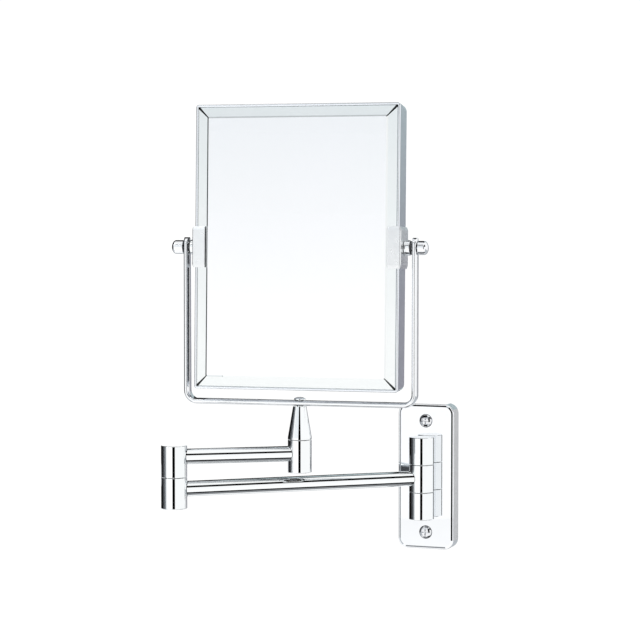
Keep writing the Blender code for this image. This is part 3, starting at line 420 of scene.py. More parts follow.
def makeWallPlate():
    # The section runs from the cavity's floor over the back rim, up the side and round the front edge
    look = plateLook
    low, high = localBox("wall_plate", wallPlace)
    screwLow, screwHigh = localBox("wall_screw_upper", wallPlace)
    knuckleTop = localBox("wall_knuckle_upper", wallPlace)[1][2]
    face, sheet, edge = low[1], look["sheet"], look["edge"]
    section = softSection([
        (sheet, face + sheet, 0), (sheet, 0, look["rim"]), (0, 0, look["rim"]),
        (0, face + look["chamferDrop"], edge), (edge, face + look["chamferDrop"], look["soft"]),
        (edge + look["chamfer"], face, look["soft"]), (look["corner"] * look["flatFrom"], face, 0)],
        steps=look["edgeSteps"])
    size = high - low
    plate = meshObject("wallPlate", *skin(rectLoops(
        size[0], size[2], look["corner"], section, look["cornerSteps"]), capped=True), wallPlace)
    inside = face + sheet / 2
    webHalf = knuckleTop + look["webBeyondBarrel"]
    screwZ = (screwLow[2] + screwHigh[2]) / 2
    knuckleZ = [sum(localBox("neck_screw_" + side, wallPlace))[2] / 2 for side in ("upper", "lower")]
    joined = [block("web", (-look["web"] / 2, inside, -webHalf), (look["web"] / 2, 0, webHalf), wallPlace)]
    joined += [rod("pillar", look["pillar"], 0, -inside, wallPlace, alongY, (0, 0, z))
               for z in (screwZ, -screwZ)]
    combine(plate, "UNION", joined)
    headRadius = (screwHigh[2] - screwLow[2]) / 2 + clearance
    neckLow, neckHigh = localBox("neck_screw_upper", wallPlace)
    boreRadius = (neckHigh[0] - neckLow[0]) / 2 + clearance
    narrow, past = look["screwBore"], look["past"]
    sink = np.array([(0, -past), (narrow, -past), (narrow, -face - look["sinkDepth"] - clearance),
                     (headRadius, -face - clearance), (headRadius, -face + past), (0, -face + past)])
    cuts = []
    for z in (screwZ, -screwZ):
        points, faces = skin(alongY(turned(sink)))
        cuts.append(meshObject("sink", points + np.array((0, 0, z)), faces, wallPlace))
    for z in knuckleZ:
        cuts.append(rod("counterbore", boreRadius, -past, look["counterbore"], wallPlace, alongY, (0, 0, z)))
        cuts.append(rod("neckHole", look["neckBore"], -past, -face + past, wallPlace, alongY, (0, 0, z)))
    combine(plate, "DIFFERENCE", cuts)
    finishPiece(plate, "wall", "cast_chrome", ["wall_plate"], castChrome)


screwLook = {"dome": 0.0018, "shank": 0.0022, "point": 0.0011, "reach": 0.0031, "width": 0.0012,
             "depth": 0.0021, "slant": 0.35, "past": 0.001, "domeSteps": 12}


def crossLoops(look, low, high):
    # A plus sign whose arms shrink towards its low end
    a, b = look["reach"], look["width"] / 2
    quarter = [(a, b), (b, b), (b, a), (-b, a), (-b, b), (-a, b)]
    outline = np.array(quarter + [(-x, -y) for x, y in quarter])
    share = np.array([1 - look["slant"], 1.0])[:, None, None]
    height = np.broadcast_to(np.array([low, high])[:, None, None], (2, 12, 1))
    return np.concatenate([outline[None] * share, height], axis=2)


def makeWallScrew(side):
    # A raised countersunk screw with a cross recess
    look, node = screwLook, "wall_screw_" + side
    low, high = localBox(node, wallPlace)
    face = localBox("wall_plate", wallPlace)[0][1]
    radius, z = (high[0] - low[0]) / 2, (low[2] + high[2]) / 2
    dome = domed(radius, 0, look["dome"], look["domeSteps"])
    seat = face - high[1]        # the shank's end, measured back from the face
    rest = np.array([(look["shank"], -plateLook["sinkDepth"]), (look["shank"], seat + look["point"]),
                     (look["point"], seat), (0, seat)])
    points, faces = skin(alongY(turned(np.concatenate([dome, rest]))))
    shift = np.array((0, face, z))
    screw = meshObject("wallScrew" + side.capitalize(), points + shift, faces, wallPlace)
    loops = alongY(crossLoops(look, look["dome"] - look["depth"], look["dome"] + look["past"])) + shift
    combine(screw, "DIFFERENCE", [meshObject("recess", *skin(loops, capped=True), wallPlace)])
    finishPiece(screw, "wall", "screw_steel", [node], screwSteel)


barrelLook = {"edge": 0.0005, "slitEdge": 0.00025, "cap": 0.003, "sides": 128, "neckWidth": 0.010,
              "neckRoot": 0.0068, "neckHeight": 0.016, "nutPlay": 0.0009}


def barrelSection(low, high, radius, bore, capped=False, above=None, below=None, edges=(0, 0)):
    # Half section of a barrel, outside first; above and below are the (radius, floor height) of a recess in
    # an end face
    bottomEdge, topEdge = edges
    if capped:
        return softSection([(0, high, 0), (radius, high, topEdge), (radius, low, bottomEdge), (bore, low, 0),
                            (bore, high - barrelLook["cap"], 0), (0, high - barrelLook["cap"], 0)])
    corners = [(radius, high, topEdge), (radius, low, bottomEdge)]
    if below:
        corners += [(below[0], low, 0), (below[0], below[1], 0), (bore, below[1], 0)]
    else:
        corners.append((bore, low, 0))
    if above:
        corners += [(bore, above[1], 0), (above[0], above[1], 0), (above[0], high, 0)]
    else:
        corners.append((bore, high, 0))
    return softSection(corners, closed=True)


def roundOf(node, place):
    # Radius, bottom and top of a round node that stands on a place's Z
    low, high = localBox(node, place)
    return (high[1] - low[1]) / 2, low[2], high[2]


def roomAbove(washer, place):
    # Recess for a washer in the upper end of the barrel under it
    radius, low, _ = roundOf(washer, place)
    return radius + clearance, low - clearance


def roomBelow(plug, place):
    # Recess for a plug or nut in the lower end of the barrel over it
    radius, _, high = roundOf(plug, place)
    return radius + clearance, high + clearance


def makeBarrel(name, node, place, body, pin, above=None, below=None, capped=False, edges=None):
    # A barrel bored for its pin; its section is turned round the hinge's axis
    radius, low, high = roundOf(node, place)
    bore = roundOf(pin, place)[0] + clearance
    edges = edges or (barrelLook["slitEdge"], barrelLook["slitEdge"])
    section = barrelSection(low, high, radius, bore, capped, above, below, edges)
    barrel = meshObject(name, *skin(turned(section, barrelLook["sides"]), closed=not capped), place)
    finishPiece(barrel, body, "polished_chrome", [node], polishedChrome)


def makeWallHinge():
    # The outer knuckles: turned like the other barrels, with a square neck towards the plate
    look, bore = barrelLook, roundOf("wall_hinge_pin", hingePlace)[0] + clearance
    rooms = {"upper": (None, None), "lower": (roomAbove("wall_washer_lower", hingePlace),
                                              roomBelow("wall_hinge_plug", hingePlace))}
    edges = {"upper": (look["slitEdge"], look["edge"]), "lower": (look["edge"], look["slitEdge"])}
    for side in ("upper", "lower"):
        node = "wall_knuckle_" + side
        low, high = localBox(node, hingePlace)
        section = barrelSection(low[2], high[2], -low[1], bore, side == "upper", *rooms[side], edges[side])
        points, faces = skin(turned(section, look["sides"]), closed=side == "lower")
        knuckle = meshObject("wallKnuckle" + side.capitalize(), points, faces, hingePlace)
        middle = (low[2] + high[2]) / 2
        neck = block("neck", (-look["neckWidth"] / 2, look["neckRoot"], middle - look["neckHeight"] / 2),
                     (look["neckWidth"] / 2, high[1], middle + look["neckHeight"] / 2), hingePlace)
        combine(knuckle, "UNION", [neck])
        finishPiece(knuckle, "wall", "cast_chrome", [node], polishedChrome)
    makePlug("wallHingePlug", "wall_hinge_plug", hingePlace, "wall")


plugLook = {"footEdge": 0.0004, "topEdge": 0.0002, "slot": 0.0012, "slotDepth": 0.0012, "past": 0.001}


def makePlug(name, node, place, body):
    # A short disc turned round the hinge's axis, with a screwdriver slot across its foot
    look = plugLook
    radius, low, high = roundOf(node, place)
    section = softSection([(0, low, 0), (radius, low, look["footEdge"]), (radius, high, look["topEdge"]),
                           (0, high, 0)])
    plug = meshObject(name, *skin(turned(section)), place)
    half, past = look["slot"] / 2, look["past"]
    combine(plug, "DIFFERENCE", [block("slot", (-radius - past, -half, low - past),
                                       (radius + past, half, low + look["slotDepth"]), place)])
    finishPiece(plug, body, "pin_steel", [node], pinSteel)


tubeLook = {"wall": 0.001, "sides": 96, "hold": 0.0003}


def makeTube(name, node, place, body, span, nearRadius, farRadius):
    # At an angle a round the tube its side is y = r cos a from the middle, and a barrel of radius R ends it
    # at x = sqrt(R squared - y squared) from the barrel's axis, inside and out
    low, high = localBox(node, place)
    outer, height = (high[2] - low[2]) / 2, (high[2] + low[2]) / 2
    angle = np.linspace(0, 2 * pi, tubeLook["sides"], endpoint=False)
    rows = []
    for radius, shares in ((outer, (0, 1)), (outer - tubeLook["wall"], (1, 0))):
        y = radius * np.cos(angle)
        ends = [np.sqrt((nearRadius + clearance) ** 2 - y ** 2),
                span - np.sqrt((farRadius + clearance) ** 2 - y ** 2)]
        hold = tubeLook["hold"]
        steps = [ends[shares[0]], ends[shares[0]] + (hold if shares[0] == 0 else -hold),
                 ends[shares[1]] - (hold if shares[1] == 1 else -hold), ends[shares[1]]]
        rows += [np.stack([x, y, height + radius * np.sin(angle)], axis=1) for x in steps]
    tube = meshObject(name, *skin(np.stack(rows), closed=True), place)
    finishPiece(tube, body, "polished_chrome", [node], polishedChrome)


def makeArms():
    # Both arms: a barrel at each end, turned about its own axis, and a tube between them
    edge, slit = barrelLook["edge"], barrelLook["slitEdge"]
    reachLower, reachUpper = np.linalg.norm(elbowAxis - wallAxis), np.linalg.norm(stemAxis - elbowAxis)
    wallRadius = -localBox("wall_knuckle_upper", hingePlace)[0][1]
    elbowRadius = roundOf("elbow_knuckle_upper", upperPlace)[0]
    stemRadius = roundOf("stem_barrel", stemPlace)[0]

    makeBarrel("lowerArmKnuckle", "lower_arm_knuckle", lowerPlace, "lower_arm", "wall_hinge_pin",
               above=roomAbove("wall_washer_upper", lowerPlace))
    makeTube("lowerArmTube", "lower_arm_tube", lowerPlace, "lower_arm", reachLower, wallRadius, elbowRadius)
    makeBarrel("elbowBarrelLower", "elbow_knuckle_lower", elbowPlace, "lower_arm", "elbow_pin",
               roomAbove("elbow_washer", elbowPlace), roomBelow("elbow_plug", elbowPlace),
               edges=(edge, slit))
    makePlug("elbowPlug", "elbow_plug", elbowPlace, "lower_arm")

    makeBarrel("elbowBarrelUpper", "elbow_knuckle_upper", upperPlace, "upper_arm", "elbow_pin",
               capped=True, edges=(slit, edge))
    makeTube("upperArmTube", "upper_arm_tube", upperPlace, "upper_arm", reachUpper, elbowRadius, stemRadius)
    radius, low, high = roundOf("stem_barrel", stemPlace)
    spindle = roundOf("stem_spindle", stemPlace)[0] + clearance
    nutRoom, nutTop = roomBelow("stem_nut", stemPlace)
    section = barrelSection(low, high, radius, spindle, False, roomAbove("stem_washer", stemPlace),
                            (nutRoom + barrelLook["nutPlay"], nutTop), (edge, slit))
    barrel = meshObject("stemBarrel", *skin(turned(section, barrelLook["sides"]), closed=True), stemPlace)
    finishPiece(barrel, "upper_arm", "polished_chrome", ["stem_barrel"], polishedChrome)


yokeLook = {"fullness": 2.5, "corner": 0.0105, "sectionSteps": 48, "tipSteps": 14, "bendSteps": 14,
            "coneTop": 0.0052, "coneFoot": 0.0016, "footRound": 0.0016, "topRound": 0.0002, "coneSteps": 8,
            "screwSkirt": 0.0004, "screwShank": 0.0022, "screwLength": 0.0085, "domeSteps": 12}


def makeYokeStrip():
    # The section is a superellipse, |u / a| to the n + |v / b| to the n = 1. It is carried up the left
    # arm's tip, where its half width grows as the sine, round two quarter bends, and up to the right tip
    look = yokeLook
    low, high = localBox("yoke_strip", yokePlace)
    thick = stripThickness()
    halfDepth = (high[1] - low[1]) / 2
    side = high[0] - thick / 2
    bend = look["corner"] - thick / 2
    bottom = low[2] + thick / 2
    tip = np.linspace(0, pi / 2, look["tipSteps"] + 1)[1:]
    turn = np.linspace(0, pi / 2, look["bendSteps"] + 1)
    x = np.concatenate([np.full(len(tip), -side), -side + bend - bend * np.cos(turn)])
    z = np.concatenate([high[2] - halfDepth * (1 - np.cos(tip)), bottom + bend - bend * np.sin(turn)])
    normalX = np.concatenate([np.full(len(tip), -1.0), -np.cos(turn)])
    normalZ = np.concatenate([np.zeros(len(tip)), -np.sin(turn)])
    width = np.concatenate([halfDepth * np.sin(tip), np.full(len(turn), halfDepth)])
    x, normalX = np.concatenate([x, -x[::-1]]), np.concatenate([normalX, -normalX[::-1]])
    z, normalZ, width = (np.concatenate([part, part[::-1]]) for part in (z, normalZ, width))
    t = np.linspace(0, 2 * pi, look["sectionSteps"], endpoint=False)
    power = 2 / look["fullness"]
    u = thick / 2 * np.sign(np.cos(t)) * np.abs(np.cos(t)) ** power
    v = np.sign(np.sin(t)) * np.abs(np.sin(t)) ** power
    loops = np.stack([x[:, None] + normalX[:, None] * u, width[:, None] * v,
                      z[:, None] + normalZ[:, None] * u], axis=2)
    strip = meshObject("yokeStrip", *skin(loops, capped=True), yokePlace)
    studRadius = roundOfX("stud_left")[0] + clearance
    pivotZ = pivotPoint[2] - stemAxis[2]
    cuts = [rod("studHole", studRadius, side - thick, side + thick, yokePlace,
                lambda loops, s=s: alongX(loops, s), (0, 0, pivotZ)) for s in (1, -1)]
    cuts.append(rod("screwHole", look["screwShank"] + clearance, low[2] - thick, low[2] + 2 * thick,
                    yokePlace))
    combine(strip, "DIFFERENCE", cuts)
    finishPiece(strip, "yoke", "polished_chrome", ["yoke_strip"], turnedChrome)


def roundOfX(node):
    # Radius, inner and outer end of a round node that lies on the pivot's line
    low, high = localBox(node, headPlace)
    ends = np.sort(np.abs([low[0], high[0]]))
    return (high[2] - low[2]) / 2, ends[0], ends[1]


def stripThickness():
    # The strip lies between the friction washer's outer face and the knob's base
    return roundOfX("knob_right")[1] - roundOfX("pivot_washer_right")[2] - 2 * clearance


def makeStem():
    # The cone and the screw on it, both turned round the stem's axis
    look = yokeLook
    radius, low, high = roundOf("stem_cone", yokePlace)
    spindle, _, spindleTop = roundOf("stem_spindle", yokePlace)
    shank = look["screwShank"] + clearance
    section = softSection([
        (0, spindleTop + clearance, 0), (spindle + clearance, spindleTop + clearance, 0),
        (spindle + clearance, low, 0), (radius, low, barrelLook["slitEdge"]),
        (radius, low + look["coneFoot"], look["footRound"]), (look["coneTop"], high, look["topRound"]),
        (shank, high, 0), (shank, high - look["screwLength"], 0), (0, high - look["screwLength"], 0)],
        steps=look["coneSteps"])
    cone = meshObject("stemCone", *skin(turned(section, barrelLook["sides"])), yokePlace)
    finishPiece(cone, "yoke", "polished_chrome", ["stem_cone"], polishedChrome)

    radius, low, high = roundOf("yoke_screw", yokePlace)
    seat = localBox("yoke_strip", yokePlace)[0][2] + stripThickness() + clearance
    crown = high - seat - look["screwSkirt"]
    dome = domed(radius, seat + look["screwSkirt"], crown, look["domeSteps"])
    rest = np.array([(radius, seat), (look["screwShank"], seat), (look["screwShank"], low), (0, low)])
    screw = meshObject("yokeScrew", *skin(turned(np.concatenate([dome, rest]))), yokePlace)
    finishPiece(screw, "yoke", "polished_chrome", ["yoke_screw"], polishedChrome)


headLook = {"frontCorner": 0.0022, "rearCorner": 0.006, "frontEdge": 0.0011, "innerEdge": 0.00075,
            "rearEdge": 0.0016, "rearInnerEdge": 0.0003, "wall": 0.0020, "edgeSteps": 8, "cornerSteps": 10}


def makeHeadFrame():
    # A band whose corner radius grows from front to rear; both its outer rims are quarter rounds
    look = headLook
    low, high = localBox("head_frame", headPlace)
    size = high - low
    front, rear, wall = low[1], high[1], look["wall"]
    section = softSection([
        (wall, front, look["innerEdge"]), (0, front, look["frontEdge"]), (0, rear, look["rearEdge"]),
        (wall, rear, look["rearInnerEdge"])], closed=True, steps=look["edgeSteps"])
    depth = size[1] - look["frontEdge"] - look["rearEdge"]
    share = np.clip((section[:, 1:2] - front - look["frontEdge"]) / depth, 0, 1)
    corner = look["frontCorner"] + (look["rearCorner"] - look["frontCorner"]) * share
    loops = rectLoops(size[0], size[2], corner, section, look["cornerSteps"])
    band = meshObject("headFrame", *skin(loops, closed=True), headPlace)
    studRadius = roundOfX("stud_left")[0] + clearance
    combine(band, "DIFFERENCE", [rod("studHole", studRadius, high[0] - 3 * wall, high[0] + wall, headPlace,
                                     lambda loops, s=s: alongX(loops, s)) for s in (1, -1)])
    finishPiece(band, "head", "frame_chrome", ["head_frame"], frameChrome)


mirrorLook = {"cornerArcs": (0.0014, 0.0014, 0.0013, 0.0006, 0.0004), "bevel": 0.0085, "step": 0.0011,
              "stepDrop": 0.0006, "bevelDrop": 0.00068, "edgeDrop": 0.00035, "edgeWidth": 0.0003,
              "cornerSteps": 4, "steepest": 0.5, "flattest": 0.9999, "sideways": 0.01}


def makeFrontMirror():
    # A slab with a bevelled border: rows of rounded rectangles from the back, up the edge, over the ground
    # edge, the bevel and the narrow step inside it to the flat face. The mitres are the corner strips
    look = mirrorLook
    low, high = localBox("front_mirror", headPlace)
    size = high - low
    face, back = low[1], high[1]
    inner = look["bevel"] - look["step"]
    edgeY = face + look["stepDrop"] + look["bevelDrop"]
    rows = np.array([
        (0, back), (0, edgeY + look["edgeDrop"]), (look["edgeWidth"], edgeY),
        (inner, face + look["stepDrop"]), (look["bevel"], face)])
    corner = rows[:, :1] + np.array(look["cornerArcs"])[:, None]
    loops = rectLoops(size[0], size[2], corner, rows, look["cornerSteps"])
    glass = meshObject("frontMirror", *skin(loops, capped=True), headPlace)
    for material in (mirrorFace, mirrorBevel, mirrorMitrePaintedDark):
        glass.data.materials.append(material)
    # Bevel and step face forward but not straight forward; a mitre also leans both sideways and up or down
    normals = np.empty(len(glass.data.polygons) * 3)
    glass.data.polygons.foreach_get("normal", normals)
    facing = normals.reshape(-1, 3) @ headPlace[:3, :3]
    slopes = (facing[:, 1] < -look["steepest"]) & (facing[:, 1] > -look["flattest"])
    paintedDarkMitres = slopes & (np.minimum(np.abs(facing[:, 0]), np.abs(facing[:, 2])) > look["sideways"])
    # The mitre strips take the near-black material: painted shade for the dark mitre lines
    chosen = np.where(paintedDarkMitres, 2, np.where(slopes, 1, 0)).astype(np.int32)
    glass.data.polygons.foreach_set("material_index", chosen)
    finishPiece(glass, "head", "silvered_glass", ["front_mirror"], mirrorFace, mirrorBevel, mirrorMitrePaintedDark)
    glass.data.shade_flat()


rearLook = {"thickness": 0.003, "dish": 0.006, "border": 0.0045, "corner": 0.0039,
            "across": 48, "up": 64, "cornerSteps": 8}


def makeRearMirror():
    # The surface is y = edge - dish (1 - u squared)(1 - v squared), u and v running from -1 to 1 inside a
    # flat border; near the corners the half width follows the corner's arc
    look = rearLook
    low, high = localBox("rear_mirror", headPlace)
    size = high - low
    halfX, halfZ, corner = size[0] / 2, size[2] / 2, look["corner"]
    arc = np.linspace(0, pi / 2, look["cornerSteps"] + 1)
    upArc = halfZ - corner + corner * np.sin(arc)
    z = np.concatenate([-upArc[::-1], np.linspace(-halfZ + corner, halfZ - corner, look["up"])[1:-1], upArc])
    beyond = np.clip(np.abs(z) - (halfZ - corner), 0, corner)
    width = halfX - corner + np.sqrt(np.clip(corner ** 2 - beyond ** 2, 0, None))
    x = np.linspace(-1, 1, look["across"] + 1)[None, :] * width[:, None]
    u = np.clip(x / (halfX - look["border"]), -1, 1)
    v = np.clip(z[:, None] / (halfZ - look["border"]), -1, 1)
    y = high[1] - look["dish"] * (1 - u ** 2) * (1 - v ** 2)
    zGrid = np.broadcast_to(z[:, None], x.shape)
    outer = np.stack([x, y, zGrid], axis=2)
    inner = np.stack([x, y - look["thickness"], zGrid], axis=2)[:, ::-1]
    glass = meshObject("rearMirror", *skin(np.concatenate([outer, inner], axis=1), capped=True), headPlace)
    finishPiece(glass, "head", "silvered_glass", ["rear_mirror"], mirrorFace)


clipLook = {"lipThickness": 0.0008, "lipEdge": 0.00015, "ramp": 0.0026, "endShare": 0.35, "round": 0.0011,
            "rampShape": ((0.92, 0.96), (1.15, 1.0))}    # share of the ramp's height, share of the thickness


def makeClip(side):
    # A C-shaped section carried along Z; its thickness falls to a third over a short ramp at each end
    look, node, sign = clipLook, "clip_" + side, {"left": -1, "right": 1}[side]
    low, high = localBox(node, headPlace)
    nearX, farX = np.sort(np.abs([low[0], high[0]]))
    frameFar = localBox("head_frame", headPlace)[1][0]
    innerX, thick, lip = frameFar + clearance, farX - frameFar - clearance, look["lipThickness"]
    frontIn, rearIn = low[1] + lip, high[1] - lip
    rise, share = np.array([(0, look["endShare"]), *look["rampShape"]]).T
    share = np.concatenate([share, share[::-1]])
    z = np.concatenate([low[2] + look["ramp"] * rise, high[2] - look["ramp"] * rise[::-1]])
    loops = []
    for s, height in zip(share, z):
        front, rear, outer = frontIn - lip * s, rearIn + lip * s, innerX + thick * s
        rounding = look["round"] * s
        section = softSection([
            (nearX, frontIn, 0), (nearX, front, look["lipEdge"]), (outer, front, rounding),
            (outer, rear, rounding), (nearX, rear, look["lipEdge"]), (nearX, rearIn, 0),
            (innerX, rearIn, 0), (innerX, frontIn, 0)], closed=True)
        loops.append(np.column_stack([sign * section[:, 0], section[:, 1], np.full(len(section), height)]))
    clip = meshObject("clip" + side.capitalize(), *skin(np.stack(loops), capped=True), headPlace)
    studRadius = roundOfX("stud_" + side)[0] + clearance
    combine(clip, "DIFFERENCE", [rod("studHole", studRadius, innerX - thick, farX + thick, headPlace,
                                     lambda loops: alongX(loops, sign))])
    finishPiece(clip, "head", "frame_chrome", [node], satinChrome)


pivotLook = {"knobEdge": 0.0005, "knobDome": 0.0032, "skirtStop": 0.0004, "domeSteps": 14,
             "bossEdge": 0.0004, "washerEdge": 0.0001}


def makePivot(side):
    # Boss, friction washer and domed knob, all turned about the pivot's line
    look, sign = pivotLook, {"left": -1, "right": 1}[side]
    bore = roundOfX("stud_" + side)[0] + clearance
    yokeHead = yokePlace.copy()
    yokeHead[:3, 3] = pivotPoint
    for name, node, edge, place, body, slot, material in (
            ("boss", "boss_", look["bossEdge"], headPlace, "head", "polished_chrome", polishedChrome),
            ("frictionWasher", "pivot_washer_", look["washerEdge"], yokeHead, "yoke", "nylon", nylon)):
        radius, inner, outer = roundOfX(node + side)
        section = softSection([(bore, inner, 0), (radius, inner, edge), (radius, outer, edge),
                               (bore, outer, 0)], closed=True)
        ring = meshObject(name + side.capitalize(), *skin(alongX(turned(section), sign), closed=True), place)
        finishPiece(ring, body, slot, [node + side], material)

    radius, inner, outer = roundOfX("knob_" + side)
    shoulder = outer - look["knobDome"]
    skirt = softSection([(0, shoulder, 0), (bore, shoulder, 0), (bore, inner, 0),
                         (radius, inner, look["knobEdge"]), (radius, shoulder - look["skirtStop"], 0)])
    dome = domed(radius, shoulder, look["knobDome"], look["domeSteps"])[::-1]
    section = np.concatenate([skirt, dome])
    knob = meshObject("knob" + side.capitalize(), *skin(alongX(turned(section), sign)), headPlace)
    finishPiece(knob, "head", "polished_chrome", ["knob_" + side], turnedChrome)


def dressHiddenNodes():
    # The pieces that keep their CAD shape: pins, washers, spindle, nut, studs, neck screws and tray
    finishes = {"pin": pinSteel, "spindle": pinSteel, "stud": pinSteel, "neck": screwSteel,
                "nut": nickelBrass, "washer": nylon, "tray": trayAbs}
    for name, node in frame["nodes"].items():
        found = [finish for word, finish in finishes.items() if word in name.split("_")]
        if found and not node.hide_render:
            node.data.materials.clear()
            node.data.materials.append(found[0])


makeWallPlate()
makeWallScrew("upper")
makeWallScrew("lower")
makeWallHinge()
print("wall side made")
makeArms()
print("arms made")
makeYokeStrip()
makeStem()
print("yoke made")
makeHeadFrame()
makeFrontMirror()
makeRearMirror()
for side in ("left", "right"):
    makeClip(side)
    makePivot(side)
dressHiddenNodes()
print("head made")


studio = {
    "centre": (-0.08, -0.10, 0.10), "floorDrop": 0.45, "floorSize": 30.0, "floorColour": "#FCFCFC",
    "worldColour": "#FFFFFF", "worldStrength": 1.06, "flagDistance": 2.2, "flagGrid": (25, 13)}


# Cloths round the object, each as (azimuths, elevations, colour); azimuth 0 is in front, +90 to the right
flags = {
    "cameraFlag": ((6.7, 29), (-30, 30), "#050505"),
    "leftBlackFlag": ((-148, -90), (-60, 62), "#141414"),
    "leftHighFlag": ((-170, -148), (10, 62), "#141414"),
    "leftLowFlag": ((-170, -148), (-60, -3), "#141414"),
    "leftDarkFlag": ((-90, -68), (-50, 50), "#46484B"),
    "leftGreyFlag": ((-68, -51), (-50, 50), "#8A8D91"),
    "plateSideFlag": ((148, 164), (-58, 62), "#BDBDBE"),
    "rearGreyFlag": ((164, 192), (-58, 62), ("#92929A", "#A9B6B9", 0.05, 0.56)),
    "rearLowFlag": ((194, 245), (-62, -7), "#8E9094"),
    "rearCeilingFlag": ((140, 240), (58, 88), "#3A3B3D"),
    "highFlag": ((28, 85), (17, 44), "#141414"),
    "frontHighFlag": ((-45, 5), (34, 46), "#55585C"),
    "frontCeilingFlag": ((-45, 5), (54, 68), "#C4C7CA"),
    "frontLowFlag": ((-45, 5), (-47, -35), "#5E6165"),
    "windowShade": ((-38, 6.5), (-12, 33), ("#FFFFFF", "#E9EDF0", 0.12, 0.62)),
}


def paper(name, colour):
    # Matt paper or cloth of the studio; a graded one goes from its first colour to its second between two
    # heights
    even = {"Base Color": hexLinear(colour)} if isinstance(colour, str) else {}
    material, tree, shader = newMaterial(name, {"Roughness": 1.0, "Specular IOR Level": 0.0, **even})
    if not even:
        first, second, low, high = colour
        coords = addNode(tree, "TexCoord").outputs["Object"]
        height = addNode(tree, "SeparateXYZ", links={"Vector": coords}).outputs["Z"]
        share = addNode(tree, "MapRange", {"From Min": low, "From Max": high}, {"Value": height})
        tone = addNode(tree, "Mix", {"data_type": "RGBA", 6: hexLinear(first), 7: hexLinear(second)},
                       {0: share.outputs["Result"]})
        drive(tree, shader, {"Base Color": tone.outputs[2]})
    return material


def sheet(name, grid, colour, onlyReflected=True):
    # A sheet of the studio through a (rows, columns, 3) grid of points; most are there only to be mirrored
    # in the object
    rows, columns = grid.shape[:2]
    i, j = np.arange(rows - 1)[:, None] * columns, np.arange(columns - 1)[None, :]
    faces = np.stack([i + j, i + j + 1, i + j + columns + 1, i + j + columns], axis=2).reshape(-1, 4)
    mesh = bpy.data.meshes.new(name)
    mesh.from_pydata(grid.reshape(-1, 3).tolist(), [], faces.tolist())
    mesh.materials.append(paper(name + "Paper", colour))
    thing = bpy.data.objects.new(name, mesh)
    bpy.context.scene.collection.objects.link(thing)
    if onlyReflected:
        thing.visible_camera = thing.visible_diffuse = thing.visible_shadow = False


def flag(name, azimuths, elevations, colour):
    # A sheet of cloth on a sphere about the object: (sin a cos e, -cos a cos e, sin e) times its distance
    across, up = studio["flagGrid"]
    azimuth, elevation = np.meshgrid(np.radians(np.linspace(*azimuths, across)),
                                     np.radians(np.linspace(*elevations, up)))
    level = np.cos(elevation)
    sheet(name, np.array(studio["centre"]) + studio["flagDistance"] * np.stack(
        [np.sin(azimuth) * level, -np.cos(azimuth) * level, np.sin(elevation)], axis=2), colour)


def makeStudio():
    # White surroundings, a pale floor, and the flags
    world = bpy.data.worlds.new("studio")
    bpy.context.scene.world = world
    world.use_nodes = True
    light = world.node_tree.nodes["Background"]
    light.inputs["Color"].default_value = hexLinear(studio["worldColour"])
    light.inputs["Strength"].default_value = studio["worldStrength"]
    half, level = studio["floorSize"] / 2, cadBox[0][2] - studio["floorDrop"]
    grid = np.array([[(x, y, level) for x in (-half, half)] for y in (-half, half)])
    sheet("floor", grid, studio["floorColour"], onlyReflected=False)
    for name, (azimuths, elevations, colour) in flags.items():
        flag(name, azimuths, elevations, colour)
    bpy.context.scene.view_settings.view_transform = "Standard"


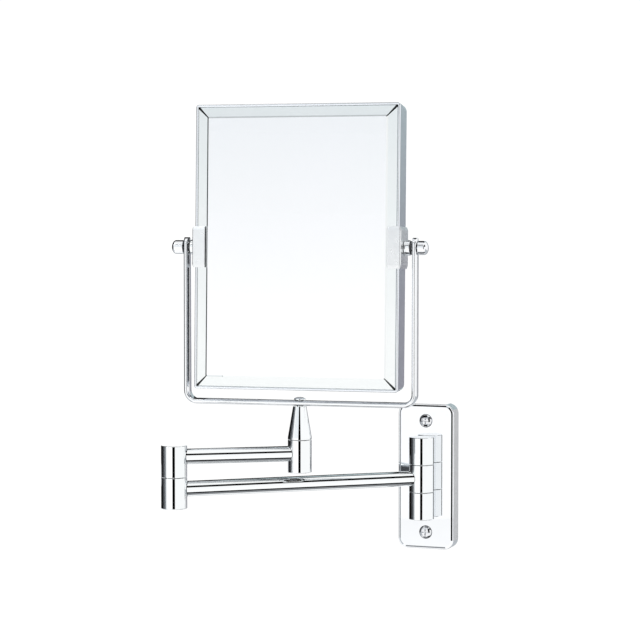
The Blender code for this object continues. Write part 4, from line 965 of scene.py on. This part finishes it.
def makeLowFlag():
    # A dark strip of cloth under the front of the tubes, and a grey one straight below the object; each is
    # (colour, drop, (near, far, left, right)) from the studio's centre towards the tubes' front
    look = {"drop": 0.40, "azimuth": 37, "cloths": {
        "dark": ("#0A0A0A", 0, (0.13, 0.34, -0.06, 0.42)),
        "grey": ("#85878A", 0.01, (-0.13, 0.20, -0.27, 0.30))}}
    azimuth = radians(look["azimuth"])
    towards = np.array([sin(azimuth), -cos(azimuth), 0])
    across = np.array([cos(azimuth), sin(azimuth), 0])
    middle = np.array(studio["centre"]) * np.array([1, 1, 0]) - upright * look["drop"]
    for name, (colour, under, (near, far, left, right)) in look["cloths"].items():
        sheet(name + "LowCloth", np.array([
            [middle + towards * a + across * b - upright * under for b in (left, right)]
            for a in (near, far)]), colour)


def makeFloorCloth():
    # A grey ring of cloth on the floor beside and behind the object, open towards the front: polar grid of
    # radius and azimuth. It shades the chrome when the object is seen from above
    look = {"lift": 0.018, "radii": (0.5, 3.0), "azimuths": (78, 315), "colour": "#B5B9BD", "steps": 48}
    angles = np.radians(np.linspace(*look["azimuths"], look["steps"]))
    radius, azimuth = np.meshgrid(np.array(look["radii"]), angles)
    middleX, middleY, _ = studio["centre"]
    level = cadBox[0][2] - studio["floorDrop"] + look["lift"]
    sheet("floorCloth", np.stack([middleX + radius * np.sin(azimuth), middleY - radius * np.cos(azimuth),
                                  np.full(radius.shape, level)], axis=2), look["colour"])


def makeCamera():
    # The camera stands at an azimuth, elevation and distance from its target, and looks back at it
    view = {"azimuth": 20.46, "elevation": 2.84, "distance": 1.717, "lens": 119.6, "sensor": 36.0,
            "target": (-0.0839, -0.0327, 0.1255)}
    a, e = radians(view["azimuth"]), radians(view["elevation"])
    direction = Vector((sin(a) * cos(e), -cos(a) * cos(e), sin(e)))
    camera = bpy.data.objects.new("camera", bpy.data.cameras.new("camera"))
    camera.data.lens = view["lens"]
    camera.data.sensor_width = view["sensor"]
    camera.location = Vector(view["target"]) + direction * view["distance"]
    camera.rotation_euler = direction.to_track_quat("Z", "Y").to_euler()
    bpy.context.scene.collection.objects.link(camera)
    bpy.context.scene.camera = camera


def makeSoftbox():
    # A large soft lamp, high at the front left
    look = {"size": 1.2, "power": 12.0, "place": (-1.2, -1.8, 1.6)}
    lamp = bpy.data.lights.new("softbox", "AREA")
    lamp.shape = "SQUARE"
    lamp.size = look["size"]
    lamp.energy = look["power"]
    box = bpy.data.objects.new("softbox", lamp)
    place = Vector(look["place"])
    box.location = place
    box.rotation_euler = (place - Vector(studio["centre"])).to_track_quat("Z", "Y").to_euler()
    bpy.context.scene.collection.objects.link(box)


makeStudio()
makeLowFlag()
makeFloorCloth()
makeSoftbox()
makeCamera()
print("studio made")
